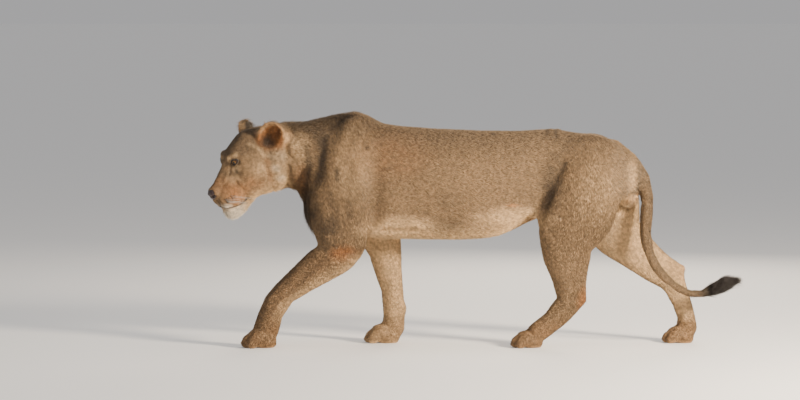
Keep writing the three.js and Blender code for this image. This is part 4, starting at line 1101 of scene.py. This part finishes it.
def inPart(points):    # which piece of the coat a root belongs to
    x, y, _ = points.T
    zones = zonesOf(points)
    local = toHead(points)
    part = np.searchsorted(trunkCuts, x, side="right") * 2 + (y > 0)
    part[zones["legs"] > 0.5] = 10 + (x[zones["legs"] > 0.5] > 0)
    part[zones["paws"] > 0.5] = 12
    part[zones["tail"] > 0.5] = 13
    part[zones["head"] > 0.5] = 14 + (local[zones["head"] > 0.5, 0] > 0.19)
    part[zones["ears"] > 0.5] = 16
    return part


partNames = [f"coat_{name}_{side}" for name in ("neck", "shoulder", "chest", "flank", "rump")
             for side in ("left", "right")]
partNames += ["coat_forelegs", "coat_hindlegs", "coat_paws", "coat_tail", "coat_face", "coat_cheeks", "coat_ears"]

muzzle = 1 - smoothStep(0.10, 0.17, toHead(faceMiddle)[:, 0])
density = mixed(faceZones, {zone: plan["count"] for zone, plan in coatPlan.items()})
density = density * (1 + 0.5 * muzzle * faceZones["head"])
density = density * (1 - smoothStep(0.3, 0.6, faceBare)) * (1 - smoothStep(0.02, 0.008, faceMiddle[:, 2]))
total = int((faceArea * density).sum())
roots, rootNormals, rootUv, lie = scattered(total, density)
rootZones = zonesOf(roots)
across = np.cross(rootNormals, lie)
turn = rng.normal(0, tuftShape["turn"], total)[:, None]
lie = unit(lie * np.cos(turn) + across * np.sin(turn))
local = toHead(roots)
shorter = 1 - 0.42 * (1 - smoothStep(0.09, 0.19, local[:, 0])) * rootZones["head"]
sizes = {key: mixed(rootZones, {zone: plan[key] for zone, plan in coatPlan.items()}) for key in
         ("length", "width", "lift")}
length = sizes["length"] * rng.uniform(0.7, 1.25, total) * shorter
width = sizes["width"] * rng.uniform(0.75, 1.25, total)
lift = np.radians(sizes["lift"] * rng.uniform(0.55, 1.35, total))
part = inPart(roots)
for number, name in enumerate(partNames):
    own = part == number
    growTufts(name, roots[own], rootNormals[own], rootUv[own], lie[own], length[own], width[own], lift[own])
print("coat grown:", total, "tufts")

# longer hair, where the coat breaks the outline

def locks(name, weight, count, length, width, lift, droop=0.0, spread=0.16, turn=None, dark=0.0, black=0.0,
          replaced=(), finish=None):
    roots, normals, uv, lie = scattered(count, weight)
    if turn is not None:
        lie = unit(lie + np.array(turn))
        lie = unit(lie - normals * (lie * normals).sum(1, keepdims=True))
    lie = unit(lie + np.cross(normals, lie) * rng.normal(0, spread, count)[:, None])
    marks, bare, saddle = markingsAndPaintedLightOf(roots, normals)
    marks["dark"], bare = np.maximum(marks["dark"], dark), np.maximum(bare, black)
    size = length * rng.uniform(0.6, 1.2, count)
    lifts = np.radians(lift * rng.uniform(0.5, 1.5, count))
    return growTufts(name, roots, normals, uv, lie, size, width * rng.uniform(0.7, 1.2, count), lifts, rings=2,
                     droop=droop, markFrom=(marks, bare, saddle), replaced=replaced, finish=finish)


x, y, z = faceMiddle.T
faceLocal = toHead(faceMiddle)
faceShares, _, _, faceHead = bodySense(faceMiddle)
clear = 1 - smoothStep(0.2, 0.5, faceBare)
legBacks = faceZones["legs"] + faceZones["body"] * (z < 0.75)

tailEnd = (faceZones["tail"] > 0.5) * smoothStep(1.035, 1.07, x)
locks("hair_tail_tuft", tailEnd, 4600, 0.050, 0.0022, 12, droop=0.05, spread=0.2, dark=1.0, black=1.0,
      replaced=("tail_tuft",), finish=darkFinish)
locks("hair_tail_lower", (faceZones["tail"] > 0.5) * smoothStep(0.92, 1.04, x), 1500, 0.028, 0.0020, 8, dark=0.35)
crest = smoothStep(0.5, 0.9, faceNormals[:, 2]) * (z > 0.78) * (x < -0.50) * (1 - faceHead)
crest = crest * (1 - smoothStep(-0.60, -0.50, x))
locks("hair_crest", crest, 4200, 0.032, 0.0019, 13, dark=0.35)
neckSides = (1 - faceHead) * (1 - smoothStep(-0.70, -0.60, x)) * (z > 0.50) * (faceZones["body"] > 0.5)
locks("hair_neck", neckSides * smoothStep(0.3, 0.7, faceShares["neck"] + faceShares["breast"]), 7000, 0.032, 0.0020,
      8, droop=0.10)
breast = (1 - faceHead) * smoothStep(0.2, 0.6, faceShares["breast"]) * smoothStep(0.0, 0.6, -faceNormals[:, 0])
locks("hair_breast", breast * (z > 0.47) * (z < 0.74), 4200, 0.042, 0.0021, 14, droop=0.22, turn=(0.1, 0, -0.5))
under = smoothStep(0.5, 0.9, -faceNormals[:, 2]) * (faceZones["body"] > 0.5) * (np.abs(x) < 0.5)
locks("hair_belly", under, 4200, 0.026, 0.0020, 8, droop=0.12)
elbows = np.exp(-((x + 0.49) ** 2 + (z - 0.47) ** 2) / 0.0025) * (y < 0)
elbows += np.exp(-((x + 0.33) ** 2 + (z - 0.47) ** 2) / 0.0025) * (y > 0)
hams = smoothStep(0.3, 0.8, faceNormals[:, 0]) * legBacks * (z > 0.30)
hocks = np.exp(-((x - 0.49) ** 2 + (z - 0.26) ** 2) / 0.004) + np.exp(-((x - 0.94) ** 2 + (z - 0.35) ** 2) / 0.004)
locks("hair_leg_backs", elbows + 0.55 * hams * (x > 0.2) + 0.6 * hocks * (faceNormals[:, 0] > 0), 4600, 0.021, 0.0018,
      11, droop=0.05)
chin = (1 - smoothStep(0.13, 0.20, faceLocal[:, 0])) * smoothStep(-0.105, -0.125, faceLocal[:, 2])
locks("hair_chin", chin * faceZones["head"] * clear, 1800, 0.018, 0.0014, 17, droop=0.25)
ruff = np.exp(-((faceLocal[:, 0] - 0.33) ** 2 + (faceLocal[:, 2] + 0.04) ** 2) / 0.006)
ruff = ruff * (np.abs(faceLocal[:, 1]) > 0.05)
locks("hair_cheeks", ruff * (faceHead > 0.3) * (faceZones["ears"] < 0.5), 4200, 0.025, 0.0016, 11, droop=0.06)
throat = smoothStep(0.3, 0.8, -(faceNormals @ headAxes.T)[:, 2]) * (faceHead > 0.3) * (faceLocal[:, 0] > 0.16)
locks("hair_throat", throat, 2400, 0.024, 0.0018, 10, droop=0.16)
earPlace, earTurned = earSense(faceLocal, faceNormals @ headAxes.T)
earRim = rimOf(earPlace)
fringe = faceZones["ears"] * smoothStep(0.82, 0.95, earRim)
locks("hair_ear_rims", fringe, 2600, 0.011, 0.0010, 13)
earInside = faceZones["ears"] * smoothStep(0.1, 0.5, earTurned[:, 2]) * (earRim < 0.95)
frontSide = smoothStep(0.1, 0.6, -(earPlace[:, 0] * np.where(faceLocal[:, 1] > 0, 1, -1)) / 0.05)
locks("hair_ear_insides", earInside * (0.25 + frontSide), 2000, 0.022, 0.0011, 26, spread=0.25)
print("long hair grown")


# eyes and lids

def closedLoop(rows):    # faces of a tube whose rows join end to end, and whose first and last rows join too
    count, around = rows
    index = np.arange(count * around).reshape(count, around)
    a, b = index, np.roll(index, -1, 1)
    c, d = np.roll(b, -1, 0), np.roll(index, -1, 0)
    return np.stack([a, b, c, d], 2).reshape(-1, 4)


eyeLook = {"gaze": (-0.88, 0.46, 0.02), "bulge": 0.0010}
eyeMaterial, eyeTree, eyeShader = principled("eyeAmber", Roughness=0.2, Coat_Weight=0.6, Coat_Roughness=0.02)
eyeShader.inputs["Specular IOR Level"].default_value = 0.1
gazeIn = nodeOf(eyeTree, "ShaderNodeAttribute", attribute_name="gaze")
eyeRamp = nodeOf(eyeTree, "ShaderNodeValToRGB")
stops = [(0.0, (0.10, 0.055, 0.035)), (0.70, (0.050, 0.025, 0.015)), (0.775, (0.010, 0.006, 0.004)),
         (0.80, (0.060, 0.024, 0.006)), (0.86, (0.130, 0.058, 0.012)), (0.935, (0.190, 0.098, 0.022)),
         (0.952, (0.060, 0.030, 0.008)), (0.958, (0.001, 0.001, 0.001))]
while len(eyeRamp.color_ramp.elements) < len(stops):
    eyeRamp.color_ramp.elements.new(0.5)
for element, (at, colour) in zip(eyeRamp.color_ramp.elements, stops):
    element.position, element.color = at, (*colour, 1)
fibres = nodeOf(eyeTree, "ShaderNodeTexNoise", in_Scale=900.0, in_Detail=3.0)
fibrePlace = nodeOf(eyeTree, "ShaderNodeTexCoord")
vary = nodeOf(eyeTree, "ShaderNodeHueSaturation")
wire(eyeTree, (gazeIn.outputs["Fac"], eyeRamp.inputs[0]), (fibrePlace.outputs["Object"], fibres.inputs["Vector"]),
     (sums(eyeTree, "MULTIPLY_ADD", fibres.outputs["Fac"], 0.7, 0.65), vary.inputs["Value"]),
     (eyeRamp.outputs["Color"], vary.inputs["Color"]), (vary.outputs["Color"], eyeShader.inputs["Base Color"]))

lidRows = [(-5, -0.0010), (-3, 0.0004), (1, 0.0015), (6, 0.0025), (13, 0.0032), (23, 0.0030), (35, 0.0012),
           (36, -0.0015), (15, -0.0016)]    # degrees beyond the opening's edge, height over the eyeball
for side, node, name in ((1, "eye_left", "eyeball_left"), (-1, "eye_right", "eyeball_right")):
    middle, axes, radius = middleOf(node), eyeAxes(side), eyePlan["radius"]
    ball = bmesh.new()
    bmesh.ops.create_icosphere(ball, subdivisions=5, radius=1)
    spots = np.array([tuple(v.co) for v in ball.verts])
    ballFaces = np.array([[v.index for v in f.verts] for f in ball.faces])
    ball.free()
    gaze = unit(np.array(eyeLook["gaze"]) * [1, side, 1]) @ headAxes
    toward = spots @ gaze
    ballMesh = newMesh(name, middle + spots * (radius + eyeLook["bulge"] * smoothStep(0.72, 1.0, toward))[:, None],
                       ballFaces)
    layer = ballMesh.attributes.new("gaze", "FLOAT", "POINT")
    layer.data.foreach_set("value", np.clip(toward, 0, 1).astype(np.float32))
    newPiece(name, ballMesh, eyeMaterial, (node,))

    angle = np.arange(64) / 64 * 2 * np.pi
    wide = eyePlan["halfWidth"] * np.cos(angle)
    tilt = wide * 0.10 - 0.02
    tall = np.where(np.sin(angle) > 0, 1.05, 0.9) * eyePlan["halfHeight"]
    high = tilt + tall * np.maximum(np.sin(angle) ** 2, 1e-6) ** 0.2 * np.sin(angle)
    reach = np.arcsin(np.clip(np.hypot(wide, high), 0, 0.98))
    heading = np.arctan2(high, wide)
    rows = []
    for beyond, over in lidRows:
        theta = reach + math.radians(beyond)
        way = np.stack([np.cos(heading) * np.sin(theta), np.sin(heading) * np.sin(theta), np.cos(theta)], 1)
        rows.append(middle + (radius + over) * (way @ axes))
    lidPoints = np.concatenate(rows)
    lidFaces = closedLoop((len(lidRows), 64))
    if side > 0:
        lidFaces = lidFaces[:, ::-1]
    lidMesh = newMesh(name.replace("eyeball", "lids"), lidPoints, lidFaces)
    lidMarks, lidBare, lidSaddle = markingsAndPaintedLightOf(lidPoints, unit(lidPoints - middle))
    lidBare = np.maximum(lidBare, np.repeat([1, 1, 1, 0.9, 0.6, 0.45, 0.3, 0, 0], 64))
    lidMarks["dark"] = np.maximum(lidMarks["dark"], 0.6)
    colourPoints(lidMesh, lidMarks, lidBare, lidSaddle, np.full(len(lidPoints), 0.5), np.full(len(lidPoints), 0.3))
    newPiece(lidMesh.name, lidMesh, skinFinish)
print("eyes made")


# nose leather, whiskers and claws

leather, leatherTree, leatherShader = principled("noseLeather", Roughness=0.38)
leatherPlace = nodeOf(leatherTree, "ShaderNodeTexCoord")
pebbles = nodeOf(leatherTree, "ShaderNodeTexVoronoi", in_Scale=620.0)
stain = nodeOf(leatherTree, "ShaderNodeTexNoise", in_Scale=90.0, in_Detail=3.0)
relief = nodeOf(leatherTree, "ShaderNodeBump", in_Strength=0.5, in_Distance=0.0006)
wire(leatherTree, (leatherPlace.outputs["Object"], pebbles.inputs["Vector"]),
     (leatherPlace.outputs["Object"], stain.inputs["Vector"]),
     (pebbles.outputs["Distance"], relief.inputs["Height"]), (relief.outputs["Normal"], leatherShader.inputs["Normal"]),
     (blended(leatherTree, stain.outputs["Fac"], (0.010, 0.007, 0.006), (0.075, 0.040, 0.032)),
      leatherShader.inputs["Base Color"]))


front = np.minimum(noseFront, 0.040)
for _ in range(10):    # the pad is smoother than the skin it lies on
    inner = (front[:-2, 1:-1] + front[2:, 1:-1] + front[1:-1, :-2] + front[1:-1, 2:]) / 4
    front[1:-1, 1:-1] = np.minimum(inner, noseFront[1:-1, 1:-1] + 0.001)
front, t, u, out, up = (grid.ravel() for grid in (front, noseDown, noseOver, noseOut, noseUp))
edge = np.minimum(np.minimum(t, 1 - t) * 6, (1 - np.abs(u)) * 4)
front = front - 0.0030 * smoothStep(0, 1, edge) + 0.0016
side = np.abs(out)
nostril = np.exp(-(((side - 0.0145) / 0.0058) ** 2 + ((up + 0.0345) / 0.0052) ** 2))
slit = np.exp(-(((side - 0.0235) / 0.0070) ** 2 + ((up + 0.0300 - (side - 0.0235) * 0.4) / 0.0026) ** 2))
front += 0.0118 * np.clip(nostril * 1.1 + slit * 0.8, 0, 1)
front -= 0.0022 * np.exp(-(((side - 0.0165) / 0.0090) ** 2 + ((up + 0.0235) / 0.0050) ** 2))
front += 0.0026 * np.exp(-(side / 0.0013) ** 2) * smoothStep(-0.030, -0.042, up)
faceSide = np.stack([front, out, up], 1)
backSide = faceSide + [nosePlan["thick"], 0, 0]
rowsCols = np.arange(len(t)).reshape(nosePlan["rows"], nosePlan["columns"])
grid = np.stack([rowsCols[:-1, :-1], rowsCols[:-1, 1:], rowsCols[1:, 1:], rowsCols[1:, :-1]], 2).reshape(-1, 4)
border = np.concatenate([rowsCols[0], rowsCols[1:, -1], rowsCols[-1, -2::-1], rowsCols[-2:0:-1, 0]])
after = np.roll(border, -1)
count = len(t)
noseFaces = np.concatenate([grid, grid[:, ::-1] + count, np.stack([after, border, border + count, after + count], 1)])
noseMesh = newMesh("nose_leather", fromHead(np.concatenate([faceSide, backSide])), noseFaces)
newPiece("nose_leather", noseMesh, leather, ("nose_pad",))


def taperedTubes(name, curves, radii, sides, material, shape=lambda t: (1 - t) ** 0.8):
    allPoints, allFaces, first = [], [], 0
    for curve, radius in zip(curves, radii):
        curve = np.array(curve)
        count = len(curve)
        way = unit(np.gradient(curve, axis=0))
        side = unit(np.cross(way, [0.31, 0.17, 0.93]))
        up = np.cross(way, side)
        for i in range(count - 1):
            thick = radius * shape(i / (count - 1))
            for k in range(sides):
                angle = 2 * math.pi * k / sides
                allPoints.append(curve[i] + thick * (math.cos(angle) * side[i] + math.sin(angle) * up[i]))
        allPoints.append(curve[-1])
        tip = first + (count - 1) * sides
        for i in range(count - 2):
            for k in range(sides):
                a, b = first + i * sides + k, first + i * sides + (k + 1) % sides
                allFaces += [(a, b, b + sides), (a, b + sides, a + sides)]
        for k in range(sides):
            a, b = tip - sides + k, tip - sides + (k + 1) % sides
            allFaces.append((a, b, tip))
        for k in range(1, sides - 1):
            allFaces.append((first, first + k + 1, first + k))
        first += (count - 1) * sides + 1
    return newPiece(name, newMesh(name, allPoints, allFaces), material)


whiskerPlan = {"rows": [(-0.060, 4), (-0.070, 5), (-0.080, 5), (-0.091, 4)], "length": 0.085, "radius": 0.00042}
hornWhite, hornTree, hornShader = principled("whiskerHair", Roughness=0.45)
paleNoise = nodeOf(hornTree, "ShaderNodeTexNoise", in_Scale=60.0)
wire(hornTree, (blended(hornTree, paleNoise.outputs["Fac"], (0.80, 0.76, 0.68), (0.62, 0.56, 0.47)),
                hornShader.inputs["Base Color"]))
curves, radii, spots = [], [], []
for side in (1, -1):
    for w, number in whiskerPlan["rows"]:
        for i in range(number):
            guess = fromHead((0.028 + 0.0145 * i + rng.uniform(-0.001, 0.001), side * 0.070, w + 0.0015 * i))
            root = ontoSkin(finishedTree, guess)
            spots.append(root)
            away = np.array([0.25 + 0.25 * i / number, side * 1.0, -0.18 + rng.uniform(-0.12, 0.1)]) @ headAxes
            length = whiskerPlan["length"] * rng.uniform(0.55, 1.3)
            bend = np.array([0.75, 0, -0.55 + rng.uniform(-0.15, 0.15)]) @ headAxes
            steps = np.linspace(0, 1, 9)[:, None]
            curves.append(root + length * (unit(away) * steps + bend * 0.45 * steps ** 2) - unit(away) * 0.002)
            radii.append(whiskerPlan["radius"] * rng.uniform(0.7, 1.1))
taperedTubes("whiskers", curves, radii, 4, hornWhite)
spots = np.repeat(np.array(spots), 7, axis=0) + rng.normal(0, 0.0013, (len(spots) * 7, 3))
found = [finishedTree.find_nearest(Vector(p)) for p in spots]
spots, spotNormals = (np.array([tuple(f[k]) for f in found]) for k in (0, 1))
spotLie = lieOf(spots, spotNormals)
spotMarks, spotBare, spotSaddle = markingsAndPaintedLightOf(spots, spotNormals)
spotMarks["dark"] = np.ones(len(spots))
hairUv = skinUv[[f[2] for f in found]].mean(1)
growTufts("hair_whisker_spots", spots, spotNormals, hairUv, spotLie, np.full(len(spots), 0.0080),
          np.full(len(spots), 0.0019), np.full(len(spots), 0.34), markFrom=(spotMarks, spotBare, spotSaddle))

lipLine = curved([np.array(p) for p in laidLines["mouth"][::4]], 5)
curves = [fromHead(lipLine * np.array([1, side, 1])) for side in (1, -1)]
partingLine = curved([(0.030, 0, -0.058), (0.036, 0, -0.075), (0.040, 0, -0.101)])
parting = [ontoSkin(finishedTree, fromHead(p)) for p in partingLine]
taperedTubes("lips", curves + [parting], [0.0036, 0.0036, 0.0012], 10, leather,
             shape=lambda t: np.interp(t, [0, 0.5, 0.85, 1], [0.8, 1, 1.5, 0.5]))

clawPlan = {"length": 0.012, "radius": 0.0030}
paws = {"fore_left": (-0.936, -0.098, 8, 1.0), "fore_right": (-0.386, 0.096, -6, 1.0),
        "hind_left": (0.262, -0.098, 4, 0.9), "hind_right": (0.956, 0.095, -4, 0.9)}
horn, hornTree, hornShader = principled("clawHorn", Roughness=0.35)
streaky = nodeOf(hornTree, "ShaderNodeTexNoise", in_Scale=240.0)
wire(hornTree, (blended(hornTree, streaky.outputs["Fac"], (0.05, 0.035, 0.025), (0.20, 0.15, 0.11)),
                hornShader.inputs["Base Color"]))
curves, radii = [], []
for px, py, heading, size in paws.values():
    turn = math.radians(heading)
    ahead = np.array([-math.cos(turn), -math.sin(turn), 0])
    leftward = np.array([math.sin(turn), -math.cos(turn), 0])
    for forward, aside in ((0.044, -0.046), (0.066, -0.017), (0.066, 0.017), (0.044, 0.046)):
        start = np.array([px, py, 0]) + tableShift * [1, 1, 0] + size * (ahead * (forward + 0.020) + leftward * aside)
        start[2] = 0.021 * size
        steps = np.linspace(0, 1, 6)[:, None]
        curves.append(start + clawPlan["length"] * (ahead * steps * 0.9 + np.array([0, 0, -0.62]) * steps ** 2))
        radii.append(clawPlan["radius"])
taperedTubes("claws", curves, radii, 8, horn)
print("nose, whiskers and claws made")


# the stand, the light and the camera

standPlan = {"floor": (0.80, 0.775, 0.74), "glow": 0.15, "sky": (0.92, 0.94, 1.0), "skyStrength": 0.44, "halfWidth": 90}
reach = standPlan["halfWidth"]
floorMesh = newMesh("floor", [(-reach, -reach, 0), (reach, -reach, 0), (reach, reach, 0), (-reach, reach, 0)],
                    [(0, 1, 2, 3)])
floor = placed("floor", floorMesh)
floorMaterial, _, floorShader = principled("floorPaint", Roughness=0.85)
floorShader.inputs["Base Color"].default_value = (*standPlan["floor"], 1)
floorShader.inputs["Emission Color"].default_value = (*standPlan["floor"], 1)
floorShader.inputs["Emission Strength"].default_value = standPlan["glow"]
floorMesh.materials.append(floorMaterial)

lamps = {    # where it stands, what it looks at, size, power, colour
    "key": ((3.9, -2.9, 2.3), (0, 0, 0.6), 0.9, 790, (1.0, 0.86, 0.68)),
    "fill": ((-3.4, -3.8, 2.2), (-0.4, 0, 0.6), 3.0, 24, (0.86, 0.92, 1.0)),
    "top": ((0.0, 0.4, 4.2), (0, 0, 0.5), 3.4, 48, (0.95, 0.97, 1.0)),
    "rim": ((1.0, 4.0, 2.4), (0, 0, 0.7), 2.2, 110, (1.0, 0.88, 0.72)),
}
for name, (at, aim, size, power, colour) in lamps.items():
    lamp = bpy.data.lights.new(name, "AREA")
    lamp.size, lamp.energy, lamp.color = size, power, colour
    holder = placed(name, lamp)
    holder.location = at
    holder.rotation_euler = (Vector(aim) - Vector(at)).to_track_quat("-Z", "Y").to_euler()
world = bpy.data.worlds.new("studio")
world.use_nodes = True
sky = world.node_tree
backdrop = sky.nodes["Background"]
backdrop.inputs["Color"].default_value = (*standPlan["sky"], 1)
backdrop.inputs["Strength"].default_value = standPlan["skyStrength"]
seen = nodeOf(sky, "ShaderNodeBackground", in_Strength=standPlan["skyStrength"] + standPlan["glow"])
seen.inputs["Color"].default_value = (*[a * b for a, b in zip(standPlan["floor"], standPlan["sky"])], 1)
choose = nodeOf(sky, "ShaderNodeMixShader")
direct = nodeOf(sky, "ShaderNodeLightPath")
wire(sky, (direct.outputs["Is Camera Ray"], choose.inputs[0]), (backdrop.outputs[0], choose.inputs[1]),
     (seen.outputs[0], choose.inputs[2]), (choose.outputs[0], sky.nodes["World Output"].inputs[0]))
bpy.context.scene.world = world

cameraPlan = {"lens": 150, "distance": 15, "elevation": 4, "target": (-0.3275, 0, 0.655)}
lens = bpy.data.cameras.new("camera")
lens.lens, lens.sensor_width, lens.clip_end = cameraPlan["lens"], 36, 100
camera = placed("camera", lens)
rise = math.radians(cameraPlan["elevation"])
aim = Vector(cameraPlan["target"])
camera.location = aim + Vector((0, -math.cos(rise), math.sin(rise))) * cameraPlan["distance"]
camera.rotation_euler = (aim - camera.location).to_track_quat("-Z", "Y").to_euler()
bpy.context.scene.camera = camera

print("done")
